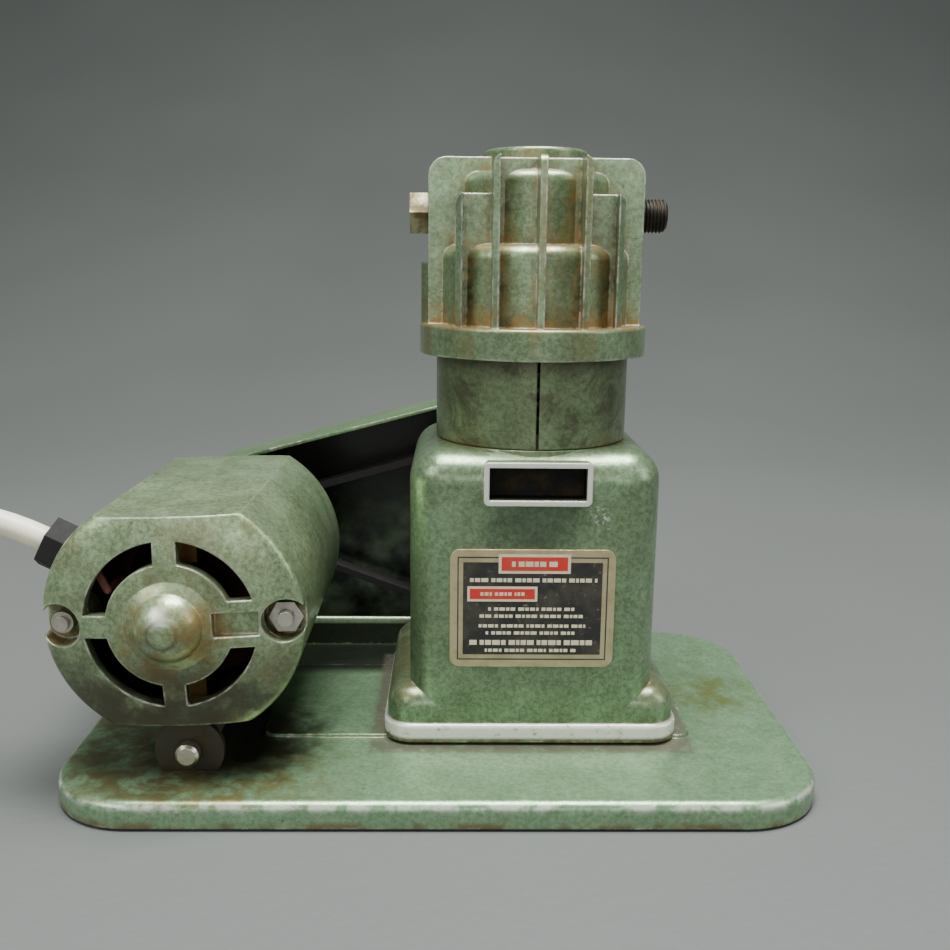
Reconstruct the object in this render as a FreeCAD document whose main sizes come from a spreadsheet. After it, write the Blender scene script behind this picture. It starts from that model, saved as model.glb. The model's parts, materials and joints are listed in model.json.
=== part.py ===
import FreeCAD, Part, Sketcher

import math
import os
import re

# A small belt-driven piston air compressor: a universal motor on a hinge at the left, a pump with a
# finned cylinder head at the right, and a belt guard behind them, all on one sheet-metal base plate.
# Millimetres, +Z up, -Y is the front. The origin is on the floor under the middle of the bounding
# box, which the base plate sets in X and the base plate and belt guard set in Y.

os.makedirs("parts", exist_ok=True)
doc = FreeCAD.newDocument("belt_driven_compressor")
V = FreeCAD.Vector

# Driving dimensions. Names ending in _x, _y and _z are places in the object's own frame, and names
# ending in _r are radii.
DIMENSIONS = {
    "Base plate": {
        "base_length": 210, "base_width": 127, "base_back_y": 60.5, "base_corner_r": 24,
        "base_skirt_z": 0.8, "base_top_z": 8, "base_sheet": 2.2, "base_wall": 3, "base_edge_r": 2.4,
        "pad_left_x": -52, "pad_right_x": 74, "pad_front_y": -29, "pad_back_y": 24, "pad_height": 1,
        "feet_r": 8, "feet_spread_x": 88, "feet_spread_y": 48,
    },
    "Motor hinge": {
        "hinge_x": -68, "hinge_z": 14, "hinge_pin_r": 3.2, "hinge_bore_r": 3.25,
        "hinge_pin_front_y": -53, "hinge_pin_back_y": 19, "ear_r": 9.4, "ear_sheet": 2.2,
        "ear_front_y": -49.2, "ear_back_y": 15, "ear_tang": 12, "ear_tang_z": 4.5,
        "lug_neck": 12, "lug_barrel_r": 5.4, "lug_front_y": -45.9, "lug_back_y": 13.9,
        "lug_flange": 26, "washer_r": 5.2, "washer_sheet": 1,
    },
    "Motor": {
        "motor_x": -69.09, "motor_z": 52.98, "motor_r": 34, "motor_flat": 28.3,
        "motor_front_y": -53, "motor_seam_y": -12, "motor_back_y": 29, "shell_wall": 2.4,
        "face_dome": 5.9, "back_dome": 4, "nose_r": 9.7, "nose_front_y": -65.5, "nose_long": 8.3,
        "vent_in_r": 16.4, "vent_out_r": 22.3, "spoke_width": 6, "wide_spoke": 12.6,
        "slot_width": 6.5, "stud_place_r": 29, "stud_pocket_r": 5.8, "stud_r": 2,
        "bush_r": 7, "shaft_r": 4, "shaft_bore_r": 4.03, "shaft_front_y": -60, "shaft_back_y": 60,
        "core_out_r": 31.4, "core_in_r": 18.6, "core_front_y": -22, "core_back_y": 8,
        "armature_r": 18, "winding_r": 15.5, "commutator_r": 9, "commutator_front_y": -44,
        "commutator_back_y": -32, "fan_r": 21, "fan_front_y": 15.3, "back_boss_y": 34,
    },
    "Pump": {
        "pump_x": 26.4, "pump_y": -1, "case_width": 71, "case_depth": 64, "case_wall": 4,
        "case_corner_r": 10, "case_top_z": 94, "case_shoulder_r": 9, "foot_width": 84,
        "foot_top_z": 24.5, "foot_shoulder_r": 6, "lip_top_z": 14.4, "lip_out": 1, "deck_sheet": 6,
        "window_left_x": 11.7, "window_right_x": 41.7, "window_low_z": 79.3, "window_top_z": 91.5,
        "window_rim": 1.5, "window_out": 0.8, "filter_depth": 14,
        "plate_left_x": 2.5, "plate_right_x": 49, "plate_low_z": 32.2, "plate_top_z": 66.8,
        "plate_sheet": 0.6, "plate_corner_r": 3, "bolt_spread_x": 27, "bolt_spread_y": 24,
    },
    "Crank train": {
        "crank_z": 49, "throw": 6, "crankpin_r": 5, "web_r": 15, "journal_r": 7, "rod_length": 45.5,
        "big_end_r": 11, "big_bore_r": 7, "small_end_r": 5.5, "wrist_r": 3, "rod_width": 10,
        "piston_r": 18.97, "bore_r": 19, "piston_wall": 3, "crown_above_pin": 22.5,
        "skirt_below_pin": 8, "crown_sheet": 3.5, "running_gap": 0.03,
        "web_front_y": 4.2, "web_sheet": 8, "housing_back_y": 44, "spigot_r": 26,
        "housing_r": 33, "housing_flange": 3, "housing_screw_r": 29.5, "bush_out_r": 10,
    },
    "Cylinder and head": {
        "barrel_r": 21, "barrel_low_z": 84, "gasket_sheet": 0.5, "flange_r": 27.2,
        "band_r": 28.4, "band_sheet": 1, "band_slit": 0.8, "fin_first_z": 102, "fin_pitch": 4,
        "ring_low_z": 119, "ring_top_z": 127.5, "ring_r": 33.3, "cylinder_top_z": 124,
        "drum_low_r": 27.5, "drum_low_top_z": 150, "drum_high_r": 21.5, "drum_high_top_z": 170,
        "cap_r": 14.8, "cap_top_z": 176.5, "block_reach": 30.8, "block_half": 7,
        "block_top_z": 174.2, "fin_sheet": 1.9, "fin_inner_x": 12.2, "fin_outer_x": 22,
        "fin_top_z": 172.9, "fin_low_top_z": 163.5, "fin_round_r": 32, "tier_half": 19.2,
        "tier_corner_r": 2.5, "chamber_r": 16,
        "chamber_top_z": 163, "port_z": 158.8, "plug_flats": 11.2, "nipple_r": 4.865,
        "nipple_bore_r": 2.5, "nipple_neck_r": 4.4, "plug_shank_r": 4,
        "nipple_end": 38.3, "clamp_place_r": 24.4, "clamp_stud_r": 1.75, "clamp_top_z": 140,
        "side_lug_r": 6, "side_lug_x": 27.5, "side_lug_y": 12, "side_lug_top_z": 145,
        "side_lug_hole_r": 2, "screw_head_r": 3.8, "screw_head_deep": 5,
    },
    "Belt drive and guard": {
        "belt_front_y": 51.2, "belt_back_y": 57.8, "belt_sheet": 2.5, "flywheel_r": 38,
        "flywheel_front_y": 49, "flywheel_back_y": 60, "flywheel_groove_r": 34.4,
        "pulley_groove_r": 4.5, "pulley_flange_r": 8.6, "pulley_front_y": 49.5,
        "pulley_back_y": 59.5, "groove_gap": 0.1,
        "guard_sheet": 1.2, "guard_front_y": 46, "guard_back_y": 66.5, "guard_left_r": 24.6,
        "guard_right_x": 20.4, "guard_right_z": 52.6, "guard_right_r": 47.9, "guard_lip_top_z": 17.3,
    },
    "Mains cord": {
        "cord_diameter": 6.7, "gland_flats": 12.6, "gland_y": -41, "gland_angle": 152.2, "gland_sunk": 0.35,
        "gland_out_r": 40.2, "coil_x": -214, "coil_y": -12, "coil_out_r": 50, "coil_in_r": 23.5,
        "coil_height": 13.6, "tie_sheet": 1.2, "tie_width": 8, "plug_length": 30, "plug_wide": 30,
        "plug_thick": 13.6, "plug_pin_r": 2, "plug_pin_long": 19, "plug_pin_spread": 9.5,
        "plug_heading": 75, "plug_lead": 15.5,
    },
}
sheet = doc.addObject("Spreadsheet::Sheet", "dims")
SIZE = {}
row = 1
for group, entries in DIMENSIONS.items():
    sheet.set("A%d" % row, group)
    row += 1
    for alias, value in entries.items():
        sheet.set("A%d" % row, alias)
        sheet.set("B%d" % row, str(value))
        sheet.setAlias("B%d" % row, alias)
        SIZE[alias] = value
        row += 1
doc.recompute()

# --- Helpers: every size and place below is an expression of the sheet's cells. ---

Z_AXIS = FreeCAD.Rotation()
X_AXIS = FreeCAD.Rotation(V(0, 1, 0), 90)
Y_AXIS = FreeCAD.Rotation(V(1, 0, 0), -90)
TURNS = {"x": X_AXIS, "y": Y_AXIS, "z": Z_AXIS}
NODES = {}


def formula(text):
    """Names of cells become references to the sheet."""
    return re.sub(r"[A-Za-z_]\w*", lambda word: "dims." + word.group(0) if word.group(0) in SIZE
                  else word.group(0), str(text))


def bind(item, **sizes):
    """Bind properties of a document object to expressions."""
    for name, text in sizes.items():
        item.setExpression(name, formula(text))
    return item


def place(item, at, rotation=Z_AXIS):
    """Turn an object, and bind the point that it stands at."""
    item.Placement = FreeCAD.Placement(V(), rotation)
    for letter, text in zip("xyz", at):
        item.setExpression("Placement.Base." + letter, formula(text))
    return item


def cyl(radius, length, at=(0, 0, 0), axis="z"):
    """A cylinder that starts at a point and runs along +axis."""
    item = doc.addObject("Part::Cylinder", "cylinder")
    bind(item, Radius=radius, Height=length)
    return place(item, at, TURNS[axis])


def cone(low, high, length, at=(0, 0, 0), axis="z"):
    """A cone that starts at a point and runs along +axis."""
    item = doc.addObject("Part::Cone", "cone")
    bind(item, Radius1=low, Radius2=high, Height=length)
    return place(item, at, TURNS[axis])


def box(size, at):
    """A box from its lowest corner."""
    item = doc.addObject("Part::Box", "box")
    bind(item, Length=size[0], Width=size[1], Height=size[2])
    return place(item, at)


def hexagon(flats, length, at=(0, 0, 0), axis="z", spin=0):
    """A hexagonal prism, by its size across flats."""
    item = doc.addObject("Part::Prism", "prism")
    item.Polygon = 6
    bind(item, Circumradius="(%s) / sqrt(3)" % flats, Height=length)
    return place(item, at, TURNS[axis] * FreeCAD.Rotation(V(0, 0, 1), spin))


def fuse(*items):
    """One solid from several that touch or overlap."""
    item = doc.addObject("Part::MultiFuse", "fusion")
    item.Shapes = list(items)
    item.Refine = True
    return item


def cut(base, *tools):
    """The base without the tools."""
    item = doc.addObject("Part::Cut", "cut")
    item.Base = base
    item.Tool = tools[0] if len(tools) == 1 else group_of(*tools)
    item.Refine = True
    return item


def common(first, second):
    """What two solids share."""
    item = doc.addObject("Part::MultiCommon", "common")
    item.Shapes = [first, second]
    item.Refine = True
    return item


def group_of(*items):
    """Separate solids kept together in one node."""
    item = doc.addObject("Part::Compound", "group")
    item.Links = list(items)
    return item


def tube(outer, inner, length, at=(0, 0, 0), axis="z"):
    """A ring or tube along an axis."""
    return cut(cyl(outer, length, at, axis), cyl(inner, length, at, axis))


def rounded(base, radius, *midpoints):
    """Fillet the edges whose middle is nearest each given point."""
    doc.recompute()
    item = doc.addObject("Part::Fillet", "fillet")
    item.Base = base
    edges = base.Shape.Edges
    chosen = set()
    for point in midpoints:
        nearest = min(range(len(edges)), key=lambda i: (middle(edges[i]) - V(*point)).Length)
        chosen.add(nearest + 1)
    item.Edges = [(number, radius, radius) for number in sorted(chosen)]
    return item


def middle(edge):
    """The point half way along an edge."""
    return edge.valueAt((edge.FirstParameter + edge.LastParameter) / 2)


def origin_plane(body, role):
    """One of a body's own origin planes."""
    return next(plane for plane in body.Origin.OriginFeatures if plane.Role == role)


def new_sketch(body, role, name):
    """A sketch on one of the body's origin planes."""
    sketch = body.newObject("Sketcher::SketchObject", name)
    sketch.AttachmentSupport = (origin_plane(body, role), [""])
    sketch.MapMode = "FlatFace"
    return sketch


def polygon(sketch, points):
    """A closed outline whose corners are bound to expressions."""
    places = [V(value_of(across), value_of(up), 0) for across, up in points]
    count = len(places)
    for i in range(count):
        sketch.addGeometry(Part.LineSegment(places[i], places[(i + 1) % count]), False)
    for i in range(count):
        sketch.addConstraint(Sketcher.Constraint("Coincident", i, 2, (i + 1) % count, 1))
    for i, (across, up) in enumerate(points):
        lock(sketch, i, "DistanceX", -2, across, places[i].x)
        lock(sketch, i, "DistanceY", -1, up, places[i].y)


def lock(sketch, line, kind, axis, text, value):
    """Hold a line's start at a distance from the sketch's origin, or on its axis."""
    if abs(value) < 1e-9:
        sketch.addConstraint(Sketcher.Constraint("PointOnObject", line, 1, axis))
        return
    number = sketch.addConstraint(Sketcher.Constraint(kind, -1, 1, line, 1, value))
    sketch.setExpression("Constraints[%d]" % number, formula(text))


def value_of(text):
    """The number that an expression gives now."""
    probe = sheet.evalExpression(formula(text).replace("dims.", ""))
    return float(getattr(probe, "Value", probe))


def turned(name, points):
    """A body turned about Z from its half section of (radius, height) corners."""
    body = doc.addObject("PartDesign::Body", name)
    sketch = new_sketch(body, "XZ_Plane", name + "_section")
    polygon(sketch, points)
    turn = body.newObject("PartDesign::Revolution", name + "_turn")
    turn.Profile = sketch
    turn.ReferenceAxis = (sketch, ["V_Axis"])
    turn.Angle = 360
    return body


def plate(name, points, length, role="XZ_Plane", backwards=True):
    """A body padded from a closed outline. From XZ_Plane it grows along +Y."""
    body = doc.addObject("PartDesign::Body", name)
    sketch = new_sketch(body, role, name + "_outline")
    polygon(sketch, points)
    pad = body.newObject("PartDesign::Pad", name + "_pad")
    pad.Profile = sketch
    bind(pad, Length=length)
    pad.Reversed = backwards
    return body


def node(name, item):
    """Register a finished sub-part: its Label is its node's name."""
    item.Label = name
    NODES[name] = item
    return item


# --- Base plate, feet and the motor's hinge ---

def rounded_slab(name, half_x, half_y, low, high, centre_y, radius, top_edge=None):
    """A rectangular slab with round corners, about x = 0, and its top edge rolled if asked."""
    body = plate(name, [("-(%s)" % half_x, "%s-(%s)" % (centre_y, half_y)),
                        (half_x, "%s-(%s)" % (centre_y, half_y)),
                        (half_x, "%s+(%s)" % (centre_y, half_y)),
                        ("-(%s)" % half_x, "%s+(%s)" % (centre_y, half_y))],
                 "%s-(%s)" % (high, low), "XY_Plane", False)
    place(body, (0, 0, low))
    doc.recompute()
    pad = body.Tip
    corners = ["Edge%d" % (i + 1) for i, edge in enumerate(pad.Shape.Edges)
               if abs(edge.tangentAt(edge.FirstParameter).z) > 0.9]
    fillet = body.newObject("PartDesign::Fillet", name + "_corners")
    fillet.Base = (pad, corners)
    bind(fillet, Radius=radius)
    if top_edge:
        doc.recompute()
        top = pad.Shape.BoundBox.ZMax
        rim = ["Edge%d" % (i + 1) for i, edge in enumerate(fillet.Shape.Edges)
               if edge.BoundBox.ZMin > top - 0.01]
        roll = body.newObject("PartDesign::Fillet", name + "_rolled_edge")
        roll.Base = (fillet, rim)
        bind(roll, Radius=top_edge)
    return body


BASE_Y = "base_back_y-base_width/2"
UNDERSIDE = "base_top_z-base_sheet"
CORNERS = [(-1, -1), (1, -1), (1, 1), (-1, 1)]
GUARD_SCREWS = ["motor_x-8", "motor_x+30", "pump_x+34"]
CASE_BOLTS = [("pump_x+%d*bolt_spread_x" % sx, "pump_y+%d*bolt_spread_y" % sy) for sx, sy in CORNERS]

outside = rounded_slab("base_outside", "base_length/2", "base_width/2", "base_skirt_z",
                       "base_top_z", BASE_Y, "base_corner_r", "base_edge_r")
hollow = rounded_slab("base_hollow", "base_length/2-base_wall", "base_width/2-base_wall",
                      "base_skirt_z-1", UNDERSIDE, BASE_Y, "base_corner_r-base_wall")
pad = box(("pad_right_x-pad_left_x", "pad_back_y-pad_front_y", "pad_height+1"),
          ("pad_left_x", "pad_front_y", "base_top_z-1"))
pad = rounded(pad, 4, *[(SIZE[x], SIZE[y], SIZE["base_top_z"])
                        for x in ("pad_left_x", "pad_right_x")
                        for y in ("pad_front_y", "pad_back_y")])
slots = [box(("ear_tang", "ear_sheet", "base_top_z"), ("hinge_x-ear_tang/2", y, "ear_tang_z"))
         for y in ("ear_front_y", "ear_back_y")]
bolt_holes = [cyl("1.8", "base_top_z+pad_height", (x, y, "base_skirt_z")) for x, y in CASE_BOLTS]
screw_holes = [cyl("1.6", "base_top_z", (x, "guard_front_y+7", "base_skirt_z"))
               for x in GUARD_SCREWS]
node("base_plate", cut(fuse(cut(outside, hollow), pad), *slots, *bolt_holes, *screw_holes))

feet = []
for side_x, side_y in CORNERS:
    x = "%d*feet_spread_x" % side_x
    y = "%s+%d*feet_spread_y" % (BASE_Y, side_y)
    feet.append(fuse(cone("feet_r-1", "feet_r", "1.2", (x, y, 0)),
                     cyl("feet_r", "%s-1.2" % UNDERSIDE, (x, y, "1.2"))))
node("rubber_feet", group_of(*feet))

ears = []
for y in ("ear_front_y", "ear_back_y"):
    disc = cyl("ear_r", "ear_sheet", ("hinge_x", y, "hinge_z"), "y")
    keep = box(("3*ear_r", "ear_sheet", "3*ear_r"), ("hinge_x-1.5*ear_r", y, "base_top_z"))
    tang = box(("ear_tang", "ear_sheet", "base_top_z-ear_tang_z"),
               ("hinge_x-ear_tang/2", y, "ear_tang_z"))
    pin_hole = cyl("hinge_pin_r", "ear_sheet", ("hinge_x", y, "hinge_z"), "y")
    ears.append(cut(fuse(common(disc, keep), tang), pin_hole))
node("hinge_ears", group_of(*ears))

PIN_END = 0.8
node("hinge_pin", fuse(
    cone("hinge_pin_r-%s" % PIN_END, "hinge_pin_r", PIN_END,
         ("hinge_x", "hinge_pin_front_y", "hinge_z"), "y"),
    cyl("hinge_pin_r", "hinge_pin_back_y-hinge_pin_front_y-%s" % PIN_END,
        ("hinge_x", "hinge_pin_front_y+%s" % PIN_END, "hinge_z"), "y")))
node("pin_washers", group_of(*[
    tube("washer_r", "hinge_pin_r", "washer_sheet", ("hinge_x", y, "hinge_z"), "y")
    for y in ("ear_front_y+ear_sheet", "ear_back_y-washer_sheet")]))

# --- Belt guard: a pan open to the front, round the motor at one end and the flywheel at the other ---

def guard_pan(name, inset, front, back):
    """The guard's outline, inset all round: two arcs, their upper tangent, and straight sides."""
    body = doc.addObject("PartDesign::Body", name)
    sketch = new_sketch(body, "XZ_Plane", name + "_outline")
    left = V(SIZE["motor_x"], SIZE["motor_z"], 0)
    right = V(SIZE["guard_right_x"], SIZE["guard_right_z"], 0)
    left_r = SIZE["guard_left_r"] - inset
    right_r = SIZE["guard_right_r"] - inset
    floor = SIZE["base_top_z"] + inset
    slope = math.atan2(right.y - left.y, right.x - left.x)
    lean = slope + math.asin((right_r - left_r) / (right - left).Length)
    up = V(-math.sin(lean), math.cos(lean), 0)
    tangent = (left + up * left_r, right + up * right_r)
    sketch.addGeometry(Part.ArcOfCircle(Part.Circle(left, V(0, 0, 1), left_r),
                                        lean + math.pi / 2, math.pi), False)
    sketch.addGeometry(Part.LineSegment(V(left.x - left_r, left.y, 0),
                                        V(left.x - left_r, floor, 0)), False)
    sketch.addGeometry(Part.LineSegment(V(left.x - left_r, floor, 0),
                                        V(right.x + right_r, floor, 0)), False)
    sketch.addGeometry(Part.LineSegment(V(right.x + right_r, floor, 0),
                                        V(right.x + right_r, right.y, 0)), False)
    sketch.addGeometry(Part.ArcOfCircle(Part.Circle(right, V(0, 0, 1), right_r),
                                        0, lean + math.pi / 2), False)
    sketch.addGeometry(Part.LineSegment(tangent[1], tangent[0]), False)
    joins = [(0, 2, 1, 1), (1, 2, 2, 1), (2, 2, 3, 1), (3, 2, 4, 1), (4, 2, 5, 1), (5, 2, 0, 1)]
    for join in joins:
        smooth = join[0] in (0, 3, 4, 5)
        sketch.addConstraint(Sketcher.Constraint("Tangent" if smooth else "Coincident", *join))
    sketch.addConstraint(Sketcher.Constraint("Vertical", 1))
    sketch.addConstraint(Sketcher.Constraint("Horizontal", 2))
    sketch.addConstraint(Sketcher.Constraint("Vertical", 3))
    sizes = [("Radius", (0,), left_r, "guard_left_r-%s" % inset),
             ("Radius", (4,), right_r, "guard_right_r-%s" % inset),
             ("DistanceX", (-1, 1, 0, 3), left.x, "motor_x"),
             ("DistanceY", (-1, 1, 0, 3), left.y, "motor_z"),
             ("DistanceX", (-1, 1, 4, 3), right.x, "guard_right_x"),
             ("DistanceY", (-1, 1, 4, 3), right.y, "guard_right_z"),
             ("DistanceY", (-1, 1, 2, 1), floor, "base_top_z+%s" % inset)]
    for kind, where, value, text in sizes:
        number = sketch.addConstraint(Sketcher.Constraint(kind, *where, value))
        sketch.setExpression("Constraints[%d]" % number, formula(text))
    pad = body.newObject("PartDesign::Pad", name + "_pad")
    pad.Profile = sketch
    bind(pad, Length="%s-(%s)" % (back, front))
    pad.Reversed = True
    return place(body, (0, front, 0))


pan = guard_pan("guard_outside", 0, "guard_front_y", "guard_back_y")
room = guard_pan("guard_inside", SIZE["guard_sheet"], "guard_front_y-1", "guard_back_y-guard_sheet")
lip_edge = {"x": "motor_x-guard_left_r", "length": "guard_right_x+guard_right_r-motor_x+guard_left_r"}
lip = box((lip_edge["length"], "guard_sheet", "guard_lip_top_z-base_top_z"),
          (lip_edge["x"], "guard_front_y", "base_top_z"))
roll = cyl("0.9", lip_edge["length"], (lip_edge["x"], "guard_front_y+0.9", "guard_lip_top_z"), "x")
holes = [cyl("1.6", "6", (x, "guard_front_y+7", "base_top_z-2")) for x in GUARD_SCREWS]
node("belt_guard", cut(fuse(cut(pan, room), lip, roll), *holes))
node("guard_screws", group_of(*[
    fuse(cyl("3.2", "1.8", (x, "guard_front_y+7", "base_top_z+guard_sheet")),
         cyl("1.6", "5", (x, "guard_front_y+7", "base_top_z+guard_sheet-5"))) for x in GUARD_SCREWS]))


def belt_loop(grow):
    """The belt's side view grown outwards: round the flywheel, the pulley and straight between."""
    wheel = V(SIZE["pump_x"], 0, SIZE["crank_z"])
    pulley = V(SIZE["motor_x"], 0, SIZE["motor_z"])
    wheel_r = SIZE["flywheel_groove_r"] + SIZE["groove_gap"] + grow
    pulley_r = SIZE["pulley_groove_r"] + SIZE["groove_gap"] + grow
    along = (wheel - pulley) / (wheel - pulley).Length
    across = V(-along.z, 0, along.x)
    sine = (wheel_r - pulley_r) / (wheel - pulley).Length
    cosine = math.sqrt(1 - sine * sine)
    upper = across * cosine - along * sine
    lower = -across * cosine - along * sine
    edges = [Part.LineSegment(pulley + upper * pulley_r, wheel + upper * wheel_r),
             Part.Arc(wheel + upper * wheel_r, wheel + along * wheel_r, wheel + lower * wheel_r),
             Part.LineSegment(wheel + lower * wheel_r, pulley + lower * pulley_r),
             Part.Arc(pulley + lower * pulley_r, pulley - along * pulley_r,
                      pulley + upper * pulley_r)]
    face = Part.Face(Part.Wire([edge.toShape() for edge in edges]))
    return face.extrude(V(0, SIZE["belt_back_y"] - SIZE["belt_front_y"], 0))


belt = doc.addObject("Part::Feature", "belt")
belt.Shape = belt_loop(SIZE["belt_sheet"]).cut(belt_loop(0))
belt.Placement = FreeCAD.Placement(V(0, SIZE["belt_front_y"], 0), Z_AXIS)
node("drive_belt", belt)

# --- Crankcase, with its intake window, nameplate and rear bearing housing ---

CASE_FLOOR = "base_top_z+pad_height"
CASE_FRONT = "pump_y-case_depth/2"
CASE_BACK = "pump_y+case_depth/2"
DECK_LOW = "case_top_z-deck_sheet"
BOSS_R = 6
SCREEN_SHEET = 0.8


def case_slab(name, grow, low, high, radius, top_edge=None):
    """A slab on the pump's axis, larger or smaller than the crankcase's walls."""
    body = rounded_slab(name, "case_width/2+(%s)" % grow[0], "case_depth/2+(%s)" % grow[1],
                        low, high, "0", radius, top_edge)
    return place(body, ("pump_x", "pump_y", low))


walls = case_slab("case_walls", ("0", "0"), CASE_FLOOR, "case_top_z", "case_corner_r",
                  "case_shoulder_r")
foot_grow = "(foot_width-case_width)/2"
foot = case_slab("case_foot", (foot_grow, "0"), CASE_FLOOR, "foot_top_z", "8", "foot_shoulder_r")
lip = case_slab("case_lip", (foot_grow + "+lip_out", "lip_out"), CASE_FLOOR, "lip_top_z", "8.5",
                "1.2")
deck_boss = cyl("band_r", "deck_sheet+4", ("pump_x", "pump_y", DECK_LOW + "-4"))
window_depth = "filter_depth-4.2+window_out"
rim = box(("window_right_x-window_left_x", window_depth, "window_top_z-window_low_z"),
          ("window_left_x", CASE_FRONT + "-window_out", "window_low_z"))
rim_middle_y = value_of(CASE_FRONT + "-window_out+(%s)/2" % window_depth)
rim = rounded(rim, 1.5, *[(SIZE[x], rim_middle_y, SIZE[z]) for x in ("window_left_x", "window_right_x")
                         for z in ("window_low_z", "window_top_z")])
window = box(("window_right_x-window_left_x-2*window_rim", "filter_depth",
              "window_top_z-window_low_z-2*window_rim"),
             ("window_left_x+window_rim", CASE_FRONT + "-2", "window_low_z+window_rim"))
cavity = case_slab("case_cavity", ("-case_wall", "-case_wall"), CASE_FLOOR + "-1", DECK_LOW, "7")
bosses = [cyl(BOSS_R, "15", (x, y, CASE_FLOOR)) for x, y in CASE_BOLTS]
tapped = [cyl("1.8", "11", (x, y, CASE_FLOOR)) for x, y in CASE_BOLTS]
barrel_hole = cyl("barrel_r+0.05", "deck_sheet", ("pump_x", "pump_y", DECK_LOW))
spigot_hole = cyl("spigot_r", "case_wall", ("pump_x", CASE_BACK + "-case_wall", "crank_z"), "y")
DIAGONALS = [(math.cos(math.radians(angle)), math.sin(math.radians(angle)))
             for angle in (45, 135, 225, 315)]


def on_circle(radius, along, up):
    """An expression pair for a point of a circle on the pump's axis."""
    return ("pump_x+%.6f*(%s)" % (along, radius), "pump_y+%.6f*(%s)" % (up, radius))


def clamp_holes(low, high, radius="clamp_stud_r+0.05"):
    """The four clamp studs' holes through one part."""
    return [cyl(radius, "%s-(%s)" % (high, low), on_circle("clamp_place_r", *turn) + (low,))
            for turn in DIAGONALS]


def housing_screw_places():
    """The bearing housing's four screws, as (x, z) expressions."""
    return [("pump_x+%.6f*housing_screw_r" % along, "crank_z+%.6f*housing_screw_r" % up)
            for along, up in DIAGONALS]


housing_taps = [cyl("1.5", "case_wall", (x, CASE_BACK + "-case_wall", z), "y")
                for x, z in housing_screw_places()]
shell = cut(fuse(walls, foot, lip, deck_boss), cut(cavity, fuse(*bosses)))
node("crankcase", cut(fuse(shell, rim), window, barrel_hole, spigot_hole, *tapped,
                      *clamp_holes(DECK_LOW, "case_top_z"), *housing_taps))
node("crankcase_bolts", group_of(*[
    fuse(cyl("4.5", "2.6", (x, y, UNDERSIDE + "-2.6")), cyl("1.8", "14", (x, y, UNDERSIDE + "-1")))
    for x, y in CASE_BOLTS]))


def window_filler(front, depth):
    """A piece that fills the window's opening over part of its depth."""
    return box(("window_right_x-window_left_x-2*window_rim", depth,
                "window_top_z-window_low_z-2*window_rim"),
               ("window_left_x+window_rim", front, "window_low_z+window_rim"))


SCREEN_FRONT = CASE_FRONT + "+6"
node("intake_screen", window_filler(SCREEN_FRONT, SCREEN_SHEET))
node("intake_felt", window_filler(SCREEN_FRONT + "+%s" % SCREEN_SHEET, "2.4"))

plate_box = box(("plate_right_x-plate_left_x", "plate_sheet", "plate_top_z-plate_low_z"),
                ("plate_left_x", CASE_FRONT + "-plate_sheet", "plate_low_z"))
corners = [(x, -33.3, z) for x in (2.5, 49) for z in (32.2, 66.8)]
node("nameplate", rounded(plate_box, SIZE["plate_corner_r"], *corners))

INSIDE_BACK = CASE_BACK + "-case_wall"
housing = fuse(
    cyl("spigot_r", "case_wall", ("pump_x", INSIDE_BACK, "crank_z"), "y"),
    cyl("housing_r", "housing_flange", ("pump_x", CASE_BACK, "crank_z"), "y"),
    cone("bush_out_r+9", "bush_out_r+5", "housing_back_y-(%s)-housing_flange" % CASE_BACK,
         ("pump_x", CASE_BACK + "+housing_flange", "crank_z"), "y"))
bush_hole = cyl("bush_out_r", "housing_back_y-(%s)" % INSIDE_BACK,
                ("pump_x", INSIDE_BACK, "crank_z"), "y")
screw_holes = [cyl("1.5", "housing_flange", (x, CASE_BACK, z), "y")
               for x, z in housing_screw_places()]
node("bearing_housing", cut(housing, bush_hole, *screw_holes))
node("housing_screws", group_of(*[
    fuse(cyl("1.5", "case_wall+housing_flange", (x, INSIDE_BACK, z), "y"),
         cyl("2.8", "2.2", (x, CASE_BACK + "+housing_flange", z), "y"))
    for x, z in housing_screw_places()]))
node("main_bush", tube("bush_out_r", "journal_r+running_gap", "housing_back_y-(%s)" % INSIDE_BACK,
                       ("pump_x", INSIDE_BACK, "crank_z"), "y"))

# --- Crank train, drawn at top dead centre ---

PIN_FRONT = "pump_y-rod_width/2-0.2"
WEB_BACK = "web_front_y+web_sheet"
PIN_Z = "crank_z+throw"
WRIST_Z = "crank_z+throw+rod_length"
CROWN_Z = WRIST_Z + "+crown_above_pin"
SKIRT_Z = WRIST_Z + "-skirt_below_pin"

node("crankshaft", fuse(
    cyl("crankpin_r", "web_front_y-(%s)" % PIN_FRONT, ("pump_x", PIN_FRONT, PIN_Z), "y"),
    cyl("web_r", "web_sheet", ("pump_x", "web_front_y", "crank_z"), "y"),
    cyl("journal_r+2", "%s-0.1-(%s)" % (INSIDE_BACK, WEB_BACK), ("pump_x", WEB_BACK, "crank_z"), "y"),
    cyl("journal_r", "flywheel_front_y-(%s)" % WEB_BACK, ("pump_x", WEB_BACK, "crank_z"), "y"),
    cyl("journal_r-1", "flywheel_back_y-flywheel_front_y",
        ("pump_x", "flywheel_front_y", "crank_z"), "y"),
    cyl("journal_r-3", "4.6", ("pump_x", "flywheel_back_y", "crank_z"), "y")))
retainer = fuse(cyl("crankpin_r+1.5", "1.2", ("pump_x", PIN_FRONT + "-1.2", PIN_Z), "y"),
                hexagon("6", "2", ("pump_x", PIN_FRONT + "-3.2", PIN_Z), "y"))
node("crankpin_retainer", retainer)

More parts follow.
